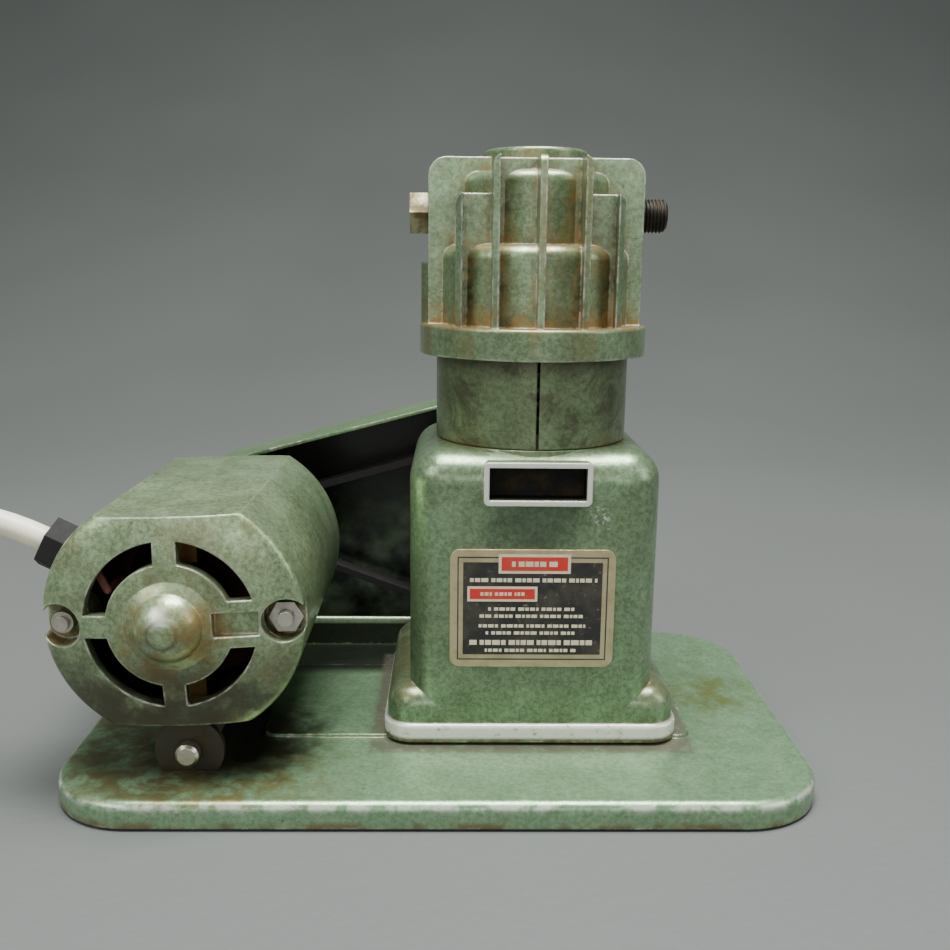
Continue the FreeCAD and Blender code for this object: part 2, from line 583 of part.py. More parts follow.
wheel = cyl("flywheel_r", "flywheel_back_y-flywheel_front_y",
            ("pump_x", "flywheel_front_y", "crank_z"), "y")
groove = tube("flywheel_r+1", "flywheel_groove_r", "belt_back_y-belt_front_y+0.4",
              ("pump_x", "belt_front_y-0.2", "crank_z"), "y")
dishes = [tube("flywheel_groove_r-4", "journal_r+6", "2.5", ("pump_x", y, "crank_z"), "y")
          for y in ("flywheel_front_y", "flywheel_back_y-2.5")]
seat = cyl("journal_r-1", "flywheel_back_y-flywheel_front_y",
           ("pump_x", "flywheel_front_y", "crank_z"), "y")
node("flywheel", cut(wheel, groove, *dishes, seat))
node("flywheel_nut", cut(hexagon("13", "3.8", ("pump_x", "flywheel_back_y", "crank_z"), "y"),
                         cyl("journal_r-3", "3.8", ("pump_x", "flywheel_back_y", "crank_z"), "y")))

ROD_FRONT = "pump_y-rod_width/2"
rod = fuse(cyl("big_end_r", "rod_width", ("pump_x", ROD_FRONT, PIN_Z), "y"),
           cyl("small_end_r", "rod_width-1", ("pump_x", ROD_FRONT + "+0.5", WRIST_Z), "y"),
           box(("8", "6", "rod_length"), ("pump_x-4", "pump_y-3", PIN_Z)))
node("connecting_rod", cut(rod, cyl("big_bore_r", "rod_width", ("pump_x", ROD_FRONT, PIN_Z), "y"),
                           cyl("wrist_r", "rod_width", ("pump_x", ROD_FRONT, WRIST_Z), "y")))
node("big_end_bush", tube("big_bore_r", "crankpin_r+running_gap", "rod_width",
                          ("pump_x", ROD_FRONT, PIN_Z), "y"))
PIN_HALF = 8.2
node("wrist_pin", cyl("wrist_r", 2 * PIN_HALF, ("pump_x", "pump_y-%s" % PIN_HALF, WRIST_Z), "y"))

RINGS = ["-5.5", "-10"]
RING_DEPTH = 1.8
skirt = tube("piston_r", "piston_r-piston_wall", "%s-crown_sheet-(%s)" % (CROWN_Z, SKIRT_Z),
             ("pump_x", "pump_y", SKIRT_Z))
crown = cyl("piston_r", "crown_sheet", ("pump_x", "pump_y", CROWN_Z + "-crown_sheet"))
pin_bosses = [tube("5", "wrist_r+0.05", "8", ("pump_x", y, WRIST_Z), "y")
              for y in ("pump_y-16.6", "pump_y+8.6")]
grooves = [tube("piston_r+1", "piston_r-%s" % RING_DEPTH, "2",
                ("pump_x", "pump_y", "%s%s" % (CROWN_Z, drop))) for drop in RINGS]
intakes = [cyl("1.5", "crown_sheet", ("pump_x+7.5*(%.4f)" % turn[0], "pump_y+7.5*(%.4f)" % turn[1],
                                      CROWN_Z + "-crown_sheet")) for turn in DIAGONALS]
leaf_hole = cyl("1.2", "crown_sheet", ("pump_x", "pump_y", CROWN_Z + "-crown_sheet"))
node("piston", cut(fuse(skirt, crown, *pin_bosses), *grooves, *intakes, leaf_hole))
node("piston_rings", group_of(*[
    tube("bore_r-0.01", "piston_r-%s" % RING_DEPTH, "2",
         ("pump_x", "pump_y", "%s%s" % (CROWN_Z, drop))) for drop in RINGS]))
node("intake_leaf", fuse(cyl("12", "0.4", ("pump_x", "pump_y", CROWN_Z)),
                         cyl("2.5", "1.2", ("pump_x", "pump_y", CROWN_Z)),
                         cyl("1.2", "crown_sheet", ("pump_x", "pump_y", CROWN_Z + "-crown_sheet"))))

# --- Cylinder, valve plate and finned head ---

ON_AXIS = ("pump_x", "pump_y")
FLANGE_LOW = "case_top_z+gasket_sheet"
FINS = 4

flange = cyl("flange_r", "4", ON_AXIS + (FLANGE_LOW,))
barrel = cyl("barrel_r", "cylinder_top_z-barrel_low_z", ON_AXIS + ("barrel_low_z",))
ring = cyl("ring_r-4.4", "cylinder_top_z-ring_low_z", ON_AXIS + ("ring_low_z",))
fins = [cyl("flange_r-0.7", "1.5", ON_AXIS + ("fin_first_z+%d*fin_pitch" % i,))
        for i in range(FINS)]
bore = cyl("bore_r", "cylinder_top_z-barrel_low_z", ON_AXIS + ("barrel_low_z",))
node("cylinder", cut(fuse(flange, barrel, ring, *fins), bore,
                     *clamp_holes(FLANGE_LOW, "cylinder_top_z")))
node("base_gasket", cut(tube("flange_r", "barrel_r+0.05", "gasket_sheet", ON_AXIS + ("case_top_z",)),
                        *clamp_holes("case_top_z", FLANGE_LOW)))
BAND_LOW = "case_top_z+0.3"
band = tube("band_r", "band_r-band_sheet", "ring_low_z-0.1-(%s)" % BAND_LOW, ON_AXIS + (BAND_LOW,))
slit = box(("band_slit", "band_r", "ring_low_z-case_top_z"),
           ("pump_x-band_slit/2", "pump_y-band_r-1", "case_top_z"))
node("sleeve_band", cut(band, slit))

PLATE_LOW = "cylinder_top_z+gasket_sheet"
PLATE_TOP = "ring_top_z+0.1"
DISC_R = "drum_high_r+0.2"
node("head_gasket", tube(DISC_R, "bore_r", "gasket_sheet", ON_AXIS + ("cylinder_top_z",)))
ports = [cyl("1.5", "4", ("pump_x+6*(%.4f)" % turn[0], "pump_y+6*(%.4f)" % turn[1], PLATE_LOW))
         for turn in DIAGONALS]
reed_hole = cyl("1.2", "4", ON_AXIS + (PLATE_LOW,))
node("valve_plate", cut(cyl(DISC_R, "%s-(%s)" % (PLATE_TOP, PLATE_LOW), ON_AXIS + (PLATE_LOW,)),
                        reed_hole, *ports))
node("discharge_reed", fuse(cyl("10", "0.4", ON_AXIS + (PLATE_TOP,)),
                            cyl("2.5", "1.8", ON_AXIS + (PLATE_TOP,)),
                            cyl("1.2", "%s-(%s)" % (PLATE_TOP, PLATE_LOW), ON_AXIS + (PLATE_LOW,))))


def drum(radius, top, edge):
    """A round tier of the head with its top edge rolled."""
    item = cyl(radius, "%s-ring_top_z+2" % top, ON_AXIS + ("ring_top_z-2",))
    across = value_of("pump_x-(%s)" % radius)
    return rounded(item, edge, (across, SIZE["pump_y"], value_of(top)))


def middle_fin():
    """The upright fin on the centre line, fore and aft."""
    item = box(("fin_sheet", "2*fin_round_r", "fin_top_z-ring_top_z+2"),
               ("pump_x-fin_sheet/2", "pump_y-fin_round_r", "ring_top_z-2"))
    height = value_of("fin_top_z")
    return rounded(item, 3, *[(SIZE["pump_x"], SIZE["pump_y"] + side * SIZE["fin_round_r"], height)
                              for side in (-1, 1)])


def head_tier(half_wide, top):
    """A block across the head whose two side walls run on fore and aft as fins, to one circle."""
    height = "%s-ring_top_z+2" % top
    whole = box(("2*(%s)" % half_wide, "2*fin_round_r", height),
                ("pump_x-(%s)" % half_wide, "pump_y-fin_round_r", "ring_top_z-2"))
    whole = rounded(whole, SIZE["tier_corner_r"],
                    *[(value_of("pump_x+%d*(%s)" % (side, half_wide)), SIZE["pump_y"], value_of(top))
                      for side in (-1, 1)])
    ends = [box(("2*(%s)-2*fin_sheet" % half_wide, "fin_round_r", height + "+1"),
                ("pump_x-(%s)+fin_sheet" % half_wide, y, "ring_top_z-2"))
            for y in ("pump_y+tier_half", "pump_y-tier_half-fin_round_r")]
    return cut(common(whole, cyl("fin_round_r", height, ON_AXIS + ("ring_top_z-2",))), *ends)


block = box(("2*block_reach", "2*block_half", "block_top_z-ring_top_z+2"),
            ("pump_x-block_reach", "pump_y-block_half", "ring_top_z-2"))
block = rounded(block, 5, *[(SIZE["pump_x"] + side * SIZE["block_reach"], SIZE["pump_y"],
                             SIZE["block_top_z"]) for side in (-1, 1)])
head_tiers = [head_tier("fin_inner_x+fin_sheet/2", "fin_top_z"),
              head_tier("fin_outer_x+fin_sheet/2", "fin_low_top_z")]
SIDES = (-1, 1)
LUG_PLACES = [("pump_x+%d*side_lug_x" % side, "pump_y+side_lug_y") for side in SIDES]
side_lugs = [cyl("side_lug_r", "side_lug_top_z-ring_top_z+2", place_of + ("ring_top_z-2",))
             for place_of in LUG_PLACES]
tiers = [drum("drum_low_r", "drum_low_top_z", 4), drum("drum_high_r", "drum_high_top_z", 3),
         drum("cap_r", "cap_top_z", 1)]
skirt_ring = cyl("ring_r", "ring_top_z-ring_low_z", ON_AXIS + ("ring_low_z",))
skirt_ring = rounded(skirt_ring, 0.8, (SIZE["pump_x"] - SIZE["ring_r"], SIZE["pump_y"],
                                       SIZE["ring_top_z"]))
chamber = cyl("chamber_r", "chamber_top_z-(%s)" % PLATE_TOP, ON_AXIS + (PLATE_TOP,))
plate_seat = cyl(DISC_R + "+0.1", "%s-cylinder_top_z" % PLATE_TOP, ON_AXIS + ("cylinder_top_z",))
flange_seat = cyl("ring_r-4.3", "cylinder_top_z-ring_low_z", ON_AXIS + ("ring_low_z",))
plug_port = cyl("plug_shank_r", "block_reach", ("pump_x-block_reach", "pump_y", "port_z"), "x")
nipple_port = cyl("nipple_neck_r", "block_reach", ("pump_x", "pump_y", "port_z"), "x")
lug_holes = [cyl("side_lug_hole_r", "side_lug_top_z-ring_low_z", place_of + ("ring_low_z",))
             for place_of in LUG_PLACES]
head_seats = [cyl("screw_head_r+0.2", "screw_head_deep+0.2", place_of + ("side_lug_top_z",))
              for place_of in LUG_PLACES]
head = fuse(skirt_ring, block, *tiers, *head_tiers, middle_fin(), *side_lugs)
node("cylinder_head", cut(head, chamber, plate_seat, flange_seat, plug_port, nipple_port,
                          *lug_holes, *head_seats, *clamp_holes("ring_low_z", "clamp_top_z")))
node("lug_screws", group_of(*[
    fuse(cyl("side_lug_hole_r", "side_lug_top_z-ring_low_z-6", place_of + ("ring_low_z+6",)),
         cut(cyl("screw_head_r", "screw_head_deep", place_of + ("side_lug_top_z",)),
             hexagon("3.4", "2.6", place_of + ("side_lug_top_z+screw_head_deep-2.6",))))
    for place_of in LUG_PLACES]))
node("clamp_studs", group_of(*[
    fuse(cyl("clamp_stud_r", "clamp_top_z-(%s)" % DECK_LOW,
             on_circle("clamp_place_r", *turn) + (DECK_LOW,)),
         cyl("3", "4", on_circle("clamp_place_r", *turn) + (DECK_LOW + "-4",)))
    for turn in DIAGONALS]))

plug_shank = cyl("plug_shank_r", "12.8", ("pump_x-block_reach", "pump_y", "port_z"), "x")
plug_head = hexagon("plug_flats", "5.4", ("pump_x-block_reach-5.4", "pump_y", "port_z"), "x", 30)
node("relief_plug", fuse(plug_shank, plug_head))
NIPPLE_START = "pump_x+chamber_r+0.5"
NIPPLE_THREAD = "pump_x+block_reach+0.4"
nipple_neck = cyl("nipple_neck_r", "%s-(%s)" % (NIPPLE_THREAD, NIPPLE_START),
                  (NIPPLE_START, "pump_y", "port_z"), "x")
nipple_thread = cyl("nipple_r", "pump_x+nipple_end-(%s)" % NIPPLE_THREAD,
                    (NIPPLE_THREAD, "pump_y", "port_z"), "x")
nipple_bore = cyl("nipple_bore_r", "nipple_end", (NIPPLE_START, "pump_y", "port_z"), "x")
node("outlet_nipple", cut(fuse(nipple_neck, nipple_thread), nipple_bore))

# --- Motor. It is drawn upright over its hinge pin, then every piece leans with it. ---

LEAN = math.degrees(math.atan2(SIZE["hinge_x"] - SIZE["motor_x"], SIZE["motor_z"] - SIZE["hinge_z"]))
MOTOR_Z = "(hinge_z+sqrt((motor_x-hinge_x)^2+(motor_z-hinge_z)^2))"


def leaning(name, item):
    """Register a motor piece, turned by the motor's lean about the hinge pin."""
    turn = FreeCAD.Rotation(V(0, 1, 0), -LEAN)
    sine, cosine = "sin(%.6fdeg)" % LEAN, "cos(%.6fdeg)" % LEAN
    place(item, ("hinge_x-hinge_x*%s+hinge_z*%s" % (cosine, sine), 0,
                 "hinge_z-hinge_x*%s-hinge_z*%s" % (sine, cosine)), turn)
    return node(name, item)


def on_motor(along, out=0, up=0):
    """A point by its place along the motor's axis, and its offset to the right and up."""
    return ("hinge_x+(%s)" % out, along, MOTOR_Z + "+(%s)" % up)


def round_bar(radius, front, back, out=0, up=0):
    """A cylinder along the motor's axis."""
    return cyl(radius, "%s-(%s)" % (back, front), on_motor(front, out, up), "y")


def flats(half, front, back):
    """A block as wide as the motor, cut off above and below."""
    return box(("3*motor_r", "%s-(%s)" % (back, front), "2*(%s)" % half),
               on_motor(front, "-1.5*motor_r", "-(%s)" % half))


def dome(radius, depth, at):
    """A shallow ellipsoid about the motor's axis."""
    item = doc.addObject("Part::Ellipsoid", "ellipsoid")
    bind(item, Radius1=depth, Radius2=radius, Radius3=radius)
    return place(item, on_motor(at), Y_AXIS)


def vent_ring(front, back, right_spoke):
    """Four arc-shaped vents with a spoke between each two."""
    ring = cut(round_bar("vent_out_r", front, back), round_bar("vent_in_r", front, back))
    length = "%s-(%s)" % (back, front)
    spokes = [box(("spoke_width", length, "2*motor_r"), on_motor(front, "-spoke_width/2", "-motor_r")),
              box(("motor_r", length, "spoke_width"), on_motor(front, "-motor_r", "-spoke_width/2")),
              box(("motor_r", length, right_spoke), on_motor(front, 0, "-(%s)/2" % right_spoke))]
    return cut(ring, *spokes)


def radial_bar(radius, low, high, shape=cyl):
    """A bar that sticks out of the motor's side towards the cord."""
    angle = SIZE["gland_angle"]
    turn = FreeCAD.Rotation(V(0, 1, 0), 90 - angle)
    item = shape(radius, "%s-(%s)" % (high, low))
    return place(item, on_motor("gland_y", "(%s)*cos(%sdeg)" % (low, angle),
                                "(%s)*sin(%sdeg)" % (low, angle)), turn)


FACE_IN = "motor_front_y+2"
STUD_SEAT = "motor_front_y+3.5"
skin = fuse(round_bar("motor_r", "motor_front_y", "motor_seam_y"),
            dome("motor_r", "face_dome", "motor_front_y"))
nose = cut(dome("nose_r", "nose_long", "nose_front_y-0.3+nose_long"),
           round_bar("nose_r", "nose_front_y-3", "nose_front_y"))
collar = cone("nose_r-0.6", "nose_r+3", "2.4", on_motor("motor_front_y-face_dome-1.4"), "y")
room = common(fuse(round_bar("motor_r-shell_wall", FACE_IN, "motor_seam_y"),
                   dome("motor_r-shell_wall", "face_dome-1.3", FACE_IN)),
              flats("motor_flat-shell_wall", "motor_front_y-9", "motor_seam_y"))
bolt_seats = [round_bar("stud_pocket_r+1.6", "motor_front_y", STUD_SEAT + "+5",
                        "%d*stud_place_r" % side) for side in SIDES]
bolt_seats.append(round_bar("bush_r+2", "motor_front_y-4", "motor_front_y+4"))
solid = common(fuse(cut(fuse(skin, nose, collar), room), *bolt_seats),
               fuse(flats("motor_flat", "motor_front_y-9", "motor_seam_y"),
                    round_bar("nose_r+3", "motor_front_y-13", "motor_front_y")))
solid = common(solid, round_bar("motor_r", "motor_front_y-13", "motor_seam_y"))
pockets = [round_bar("stud_pocket_r", "motor_front_y-8", STUD_SEAT, "%d*stud_place_r" % side)
           for side in SIDES]
bolt_ways = [round_bar("stud_r", STUD_SEAT, STUD_SEAT + "+6", "%d*stud_place_r" % side)
             for side in SIDES]
side_slot = box(("11.7", "8", "slot_width"), on_motor("motor_front_y-11", 11, "-slot_width/2"))
gland_way = fuse(radial_bar("4", 30, 36),
                 radial_bar("gland_flats/sqrt(3)+0.1", "motor_r-gland_sunk", "motor_r+2"))
leaning("motor_front_shell", cut(
    solid, vent_ring("motor_front_y-9", "motor_front_y+2", "wide_spoke"), *pockets, *bolt_ways,
    side_slot, gland_way, round_bar("bush_r", "motor_front_y-5", "motor_front_y+4"),
    round_bar("shaft_r+0.4", "motor_front_y-8", "motor_front_y")))

BACK_IN = "motor_back_y-back_dome-2.4"
back_skin = fuse(round_bar("motor_r", "motor_seam_y", "motor_back_y-back_dome"),
                 dome("motor_r", "back_dome", "motor_back_y-back_dome"))
back_room = common(round_bar("motor_r-shell_wall", "motor_seam_y", BACK_IN),
                   flats("motor_flat-shell_wall", "motor_seam_y", BACK_IN))
back_solid = common(cut(back_skin, back_room),
                    flats("motor_flat", "motor_seam_y", "motor_back_y"))
back_boss = round_bar("bush_r+2.5", BACK_IN + "-2", "back_boss_y")
bolt_bosses = [common(round_bar("stud_pocket_r", BACK_IN + "-8", BACK_IN + "+2",
                                "%d*stud_place_r" % side),
                      round_bar("motor_r-1", BACK_IN + "-8", BACK_IN + "+2")) for side in SIDES]
bolt_taps = [round_bar("stud_r", BACK_IN + "-8", BACK_IN, "%d*stud_place_r" % side)
             for side in SIDES]
leaning("motor_rear_shell", cut(fuse(back_solid, back_boss, *bolt_bosses),
                                vent_ring(BACK_IN + "-1", "motor_back_y+1", "spoke_width"),
                                round_bar("bush_r", BACK_IN + "-2", "back_boss_y"), *bolt_taps))

BOLT_FRONT = "motor_front_y-2"
bolts = [round_bar("stud_r", BOLT_FRONT, BACK_IN, "%d*stud_place_r" % side) for side in SIDES]
bolts[0] = fuse(bolts[0], round_bar("stud_r+0.9", STUD_SEAT + "-4", STUD_SEAT, "-stud_place_r"))
leaning("through_bolts", group_of(*bolts))
nut = hexagon("8", "3.4", on_motor(STUD_SEAT + "-3.4", "stud_place_r"), "y")
leaning("through_bolt_nut", cut(nut, round_bar("stud_r", STUD_SEAT + "-4", STUD_SEAT,
                                               "stud_place_r")))
leaning("motor_bearings", group_of(*[
    cut(round_bar("bush_r", front, back), round_bar("shaft_bore_r", front, back))
    for front, back in (("motor_front_y-5", "motor_front_y+4"), (BACK_IN + "-2", "back_boss_y"))]))

COIL_R = "(armature_r+4.5)"
coil_places = [("%.6f*%s" % (along, COIL_R), "%.6f*%s" % (up, COIL_R)) for along, up in DIAGONALS]
core = common(round_bar("core_out_r", "core_front_y", "core_back_y"),
              flats("motor_flat-shell_wall-0.2", "core_front_y", "core_back_y"))
notches = [round_bar("stud_r+0.6", "core_front_y", "core_back_y", "%d*stud_place_r" % side)
           for side in SIDES]
coil_ways = [round_bar("2.6", "core_front_y", "core_back_y", out, up) for out, up in coil_places]
leaning("field_core", cut(core, round_bar("core_in_r", "core_front_y", "core_back_y"),
                          *notches, *coil_ways))
coil_sides = [round_bar("2.6", "core_front_y-1", "core_back_y+1", out, up)
              for out, up in coil_places]
coil_ends = [cut(round_bar("armature_r+7.1", front, front + "+6"),
                 round_bar("armature_r+1.9", front, front + "+6"))
             for front in ("core_front_y-6", "core_back_y")]
leaning("field_coils", fuse(*coil_sides, *coil_ends))

BRUSH_Y = "(commutator_front_y+commutator_back_y)/2"
holders = []
brushes = []
for side in SIDES:
    low = "12" if side > 0 else "-(motor_flat-shell_wall)"
    holder = box((8, 8, "motor_flat-shell_wall-12"), on_motor(BRUSH_Y + "-4", -4, low))
    way = box((5, 5, "motor_flat-shell_wall-12"), on_motor(BRUSH_Y + "-2.5", -2.5, low))
    holders.append(cut(holder, way))
    brush_low = "commutator_r+0.1" if side > 0 else "-(commutator_r+0.1+13)"
    brushes.append(box((5, 5, 13), on_motor(BRUSH_Y + "-2.5", -2.5, brush_low)))
leaning("brush_holders", group_of(*holders))
leaning("carbon_brushes", group_of(*brushes))
leaning("cord_gland", fuse(radial_bar("4", "motor_r-shell_wall-1.5", "motor_r+0.5"),
                           radial_bar("gland_flats", "motor_r-gland_sunk", "gland_out_r", hexagon)))


def wire(radius, points):
    """A stiff lead inside the motor: straight lengths with a ball at every bend."""
    pieces = []
    spots = [V(SIZE["hinge_x"] + out, along, value_of(MOTOR_Z) + up) for along, out, up in points]
    for start, end in zip(spots, spots[1:]):
        length = doc.addObject("Part::Cylinder", "lead")
        length.Radius = radius
        length.Height = (end - start).Length
        length.Placement = FreeCAD.Placement(start, FreeCAD.Rotation(V(0, 0, 1), end - start))
        pieces.append(length)
    for spot in spots[1:-1]:
        ball = doc.addObject("Part::Sphere", "bend")
        ball.Radius = radius
        ball.Placement = FreeCAD.Placement(spot, FreeCAD.Rotation())
        pieces.append(ball)
    return fuse(*pieces)


leaning("motor_leads", group_of(
    wire(1.1, [(-41, -25, 13.2), (-46, -19.2, 6.2), (-29.4, -21.3, 4.3)]),
    wire(1.1, [(-38.6, -24.6, 13.9), (-36, -18, 16), (-29.4, -15, 16.9)])))

# --- Armature ---

SHAFT_STEP_Y = "guard_front_y"
leaning("motor_shaft", fuse(round_bar("shaft_r", "shaft_front_y", SHAFT_STEP_Y),
                            round_bar("shaft_r-1", SHAFT_STEP_Y, "shaft_back_y")))
SLOTS = 12
slot_cuts = []
for i in range(SLOTS):
    angle = 2 * math.pi * i / SLOTS
    slot_cuts.append(round_bar("1.5", "core_front_y", "core_back_y",
                               "%.5f*(armature_r-0.9)" % math.cos(angle),
                               "%.5f*(armature_r-0.9)" % math.sin(angle)))
leaning("armature_core", cut(round_bar("armature_r", "core_front_y", "core_back_y"),
                             round_bar("shaft_r", "core_front_y", "core_back_y"), *slot_cuts))
winding_ends = [cut(round_bar("winding_r", front, front + "+7"),
                    round_bar("shaft_r", front, front + "+7"))
                for front in ("core_front_y-7", "core_back_y")]
leaning("armature_windings", group_of(*winding_ends))
BARS = 12
bar_gaps = []
for i in range(BARS):
    gap = box((1.5, "commutator_back_y-commutator_front_y", 0.6), (0, 0, 0))
    angle = 360.0 * i / BARS
    place(gap, on_motor("commutator_front_y", "%.5f*(commutator_r-1)" % math.cos(math.radians(angle)),
                        "%.5f*(commutator_r-1)" % math.sin(math.radians(angle))),
          FreeCAD.Rotation(V(0, 1, 0), -angle))
    bar_gaps.append(gap)
leaning("commutator", cut(round_bar("commutator_r", "commutator_front_y", "commutator_back_y"),
                          round_bar("shaft_r", "commutator_front_y", "commutator_back_y"),
                          *bar_gaps))
BLADES = 8
blades = []
for i in range(BLADES):
    blade = box(("fan_r-8", 3.6, 1.2), (0, 0, 0))
    angle = 360.0 * i / BLADES
    place(blade, on_motor("fan_front_y", "%.5f*7" % math.cos(math.radians(angle)),
                          "%.5f*7" % math.sin(math.radians(angle))),
          FreeCAD.Rotation(V(0, 1, 0), -angle))
    blades.append(blade)
fan_disc = round_bar("fan_r", "fan_front_y", "fan_front_y+1")
fan_hub = round_bar("7.4", "fan_front_y", "fan_front_y+4")
leaning("cooling_fan", cut(fuse(fan_disc, fan_hub, *blades),
                           round_bar("shaft_r", "fan_front_y", "fan_front_y+4")))
pulley = round_bar("pulley_flange_r", "pulley_front_y", "pulley_back_y")
pulley_groove = cut(round_bar("pulley_flange_r+1", "belt_front_y-0.2", "belt_back_y+0.2"),
                    round_bar("pulley_groove_r", "belt_front_y-0.2", "belt_back_y+0.2"))
leaning("motor_pulley", cut(pulley, pulley_groove,
                            round_bar("shaft_r-1", "pulley_front_y", "pulley_back_y")))

# --- The lug that carries the motor on its hinge ---

lug_long = "lug_back_y-lug_front_y"
lug_barrel = cyl("lug_barrel_r", lug_long, ("hinge_x", "lug_front_y", "hinge_z"), "y")
neck = box(("lug_neck", lug_long, MOTOR_Z + "-motor_flat-hinge_z"),
           ("hinge_x-lug_neck/2", "lug_front_y", "hinge_z"))
flange = box(("lug_flange", "lug_back_y+40", "2.5"),
             ("hinge_x-lug_flange/2", "-40", MOTOR_Z + "-motor_flat-2.5"))
lug_bore = cyl("hinge_bore_r", lug_long, ("hinge_x", "lug_front_y", "hinge_z"), "y")
leaning("motor_hinge_lug", cut(fuse(lug_barrel, neck, flange), lug_bore))

# --- Mains cord: out of the gland, down to the floor, and into a coil with its plug beside it ---

CORD_R = SIZE["cord_diameter"] / 2
EXIT_ANGLE = math.radians(SIZE["gland_angle"] + LEAN)
EXIT_WAY = V(math.cos(EXIT_ANGLE), 0, math.sin(EXIT_ANGLE))
EXIT = V(SIZE["motor_x"], SIZE["gland_y"], SIZE["motor_z"]) + EXIT_WAY * SIZE["gland_out_r"]
COIL_MID = V(SIZE["coil_x"], SIZE["coil_y"], 0)
TURN_R = SIZE["coil_out_r"] - CORD_R - 0.9
UPPER_LAYER = SIZE["coil_height"] - CORD_R


def by_coil(radius, angle, height):
    """A point by its place about the coil's middle."""
    return COIL_MID + V(radius * math.cos(math.radians(angle)),
                        radius * math.sin(math.radians(angle)), height)


LEAD = [EXIT, EXIT + EXIT_WAY * 12, V(-130.5, -41.6, 78.2), V(-147, -43.2, 74.5),
        V(-161.5, -46, 63), V(-172.5, -49.8, 46.5), V(-182, -53.2, 29), V(-191, -56, 15),
        V(-203, -57.5, 6), V(-217.5, -57.5, CORD_R)]
PLUG_END = V(-250.5, 43, SIZE["plug_thick"] / 2)
PLUG_WAY = FreeCAD.Rotation(V(0, 0, 1), SIZE["plug_heading"])
TAIL = [by_coil(TURN_R, 170, UPPER_LAYER), V(-257.6, 12, 9),
        PLUG_END - PLUG_WAY * V(SIZE["plug_lead"], 0, 0), PLUG_END]


def cord_path(points):
    """Straight runs joined by tangent arcs, each as large as its two runs allow."""
    edges = []
    radii = []
    start = points[0]
    for before, here, after in zip(points, points[1:], points[2:]):
        into = (here - before).normalize()
        out_of = (after - here).normalize()
        half_turn = into.getAngle(out_of) / 2
        reach = 0.45 * min((here - before).Length, (after - here).Length)
        radii.append(round(reach / math.tan(half_turn), 1))
        first = here - into * reach
        last = here + out_of * reach
        inward = (out_of - into).normalize()
        bulge = reach * (1 / math.sin(half_turn) - 1 / math.tan(half_turn))
        edges.append(Part.LineSegment(start, first).toShape())
        edges.append(Part.Arc(first, here + inward * bulge, last).toShape())
        start = last
    edges.append(Part.LineSegment(start, points[-1]).toShape())
    return Part.Wire(edges), radii


def cord_tube(name, points):
    """One stretch of the cord as a round tube, with its radii and volume shown."""
    path, radii = cord_path(points)
    circle = Part.Circle(points[0], points[1] - points[0], CORD_R).toShape()
    solid = path.makePipeShell([Part.Wire([circle])], True, False)
    section = math.pi * CORD_R ** 2
    print(name, "length %.1f" % path.Length, "radii", radii,
          "volume ratio %.4f" % (solid.Volume / (section * path.Length)))
    item = doc.addObject("Part::Feature", name)
    item.Shape = solid
    return item


node("mains_cord", group_of(cord_tube("cord_lead", LEAD), cord_tube("cord_tail", TAIL)))
node("cord_coil", tube("coil_out_r", "coil_in_r", "coil_height", ("coil_x", "coil_y", 0)))
tie_block = box(("coil_out_r-coil_in_r+2*tie_sheet", "tie_width", "coil_height+tie_sheet"),
              ("coil_x-coil_out_r-tie_sheet", "coil_y-tie_width/2-14", 0))
tie = cut(tie_block, cyl("coil_out_r", "coil_height", ("coil_x", "coil_y", 0)))
tie = cut(tie, cyl("coil_in_r-tie_sheet", "coil_height+2", ("coil_x", "coil_y", 0)))
node("cord_tie", tie)


def plug_piece(name, item):
    """Register a piece drawn along +X from the cord's end, lying by the coil."""
    item.Placement = FreeCAD.Placement(PLUG_END, PLUG_WAY)
    return node(name, item)


grip = box(("plug_length", "plug_wide", "plug_thick"), (12, "-plug_wide/2", "-plug_thick/2"))
grip = rounded(grip, 6, *[(x, side * SIZE["plug_wide"] / 2, 0) for side in SIDES
                          for x in (12, 12 + SIZE["plug_length"])])
plug_piece("plug_body", fuse(cone("cord_diameter/2+0.6", "cord_diameter/2+2.6", 14, axis="x"), grip))
plug_piece("plug_pins", group_of(*[
    cyl("plug_pin_r", "plug_pin_long", ("12+plug_length", "%d*plug_pin_spread" % side, 0), "x")
    for side in SIDES]))

# --- Check every object and every sub-part, then write one file for each node ---

doc.recompute()
failed = [item.Label for item in doc.Objects if {"Invalid", "Error"} & set(item.State)]
if failed:
    raise SystemExit("objects failed: " + ", ".join(failed))
for name, item in NODES.items():
    if item.Shape.isNull() or not item.Shape.isValid():
        raise SystemExit("bad shape: " + name)
for name, item in NODES.items():
    item.Shape.exportStep("parts/%s.step" % name)
print(len(NODES), "sub-parts written")
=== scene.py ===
"""Looks of a small belt-driven piston air compressor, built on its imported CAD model."""
import json
import math

import bmesh
import bpy
from mathutils import Matrix, Vector


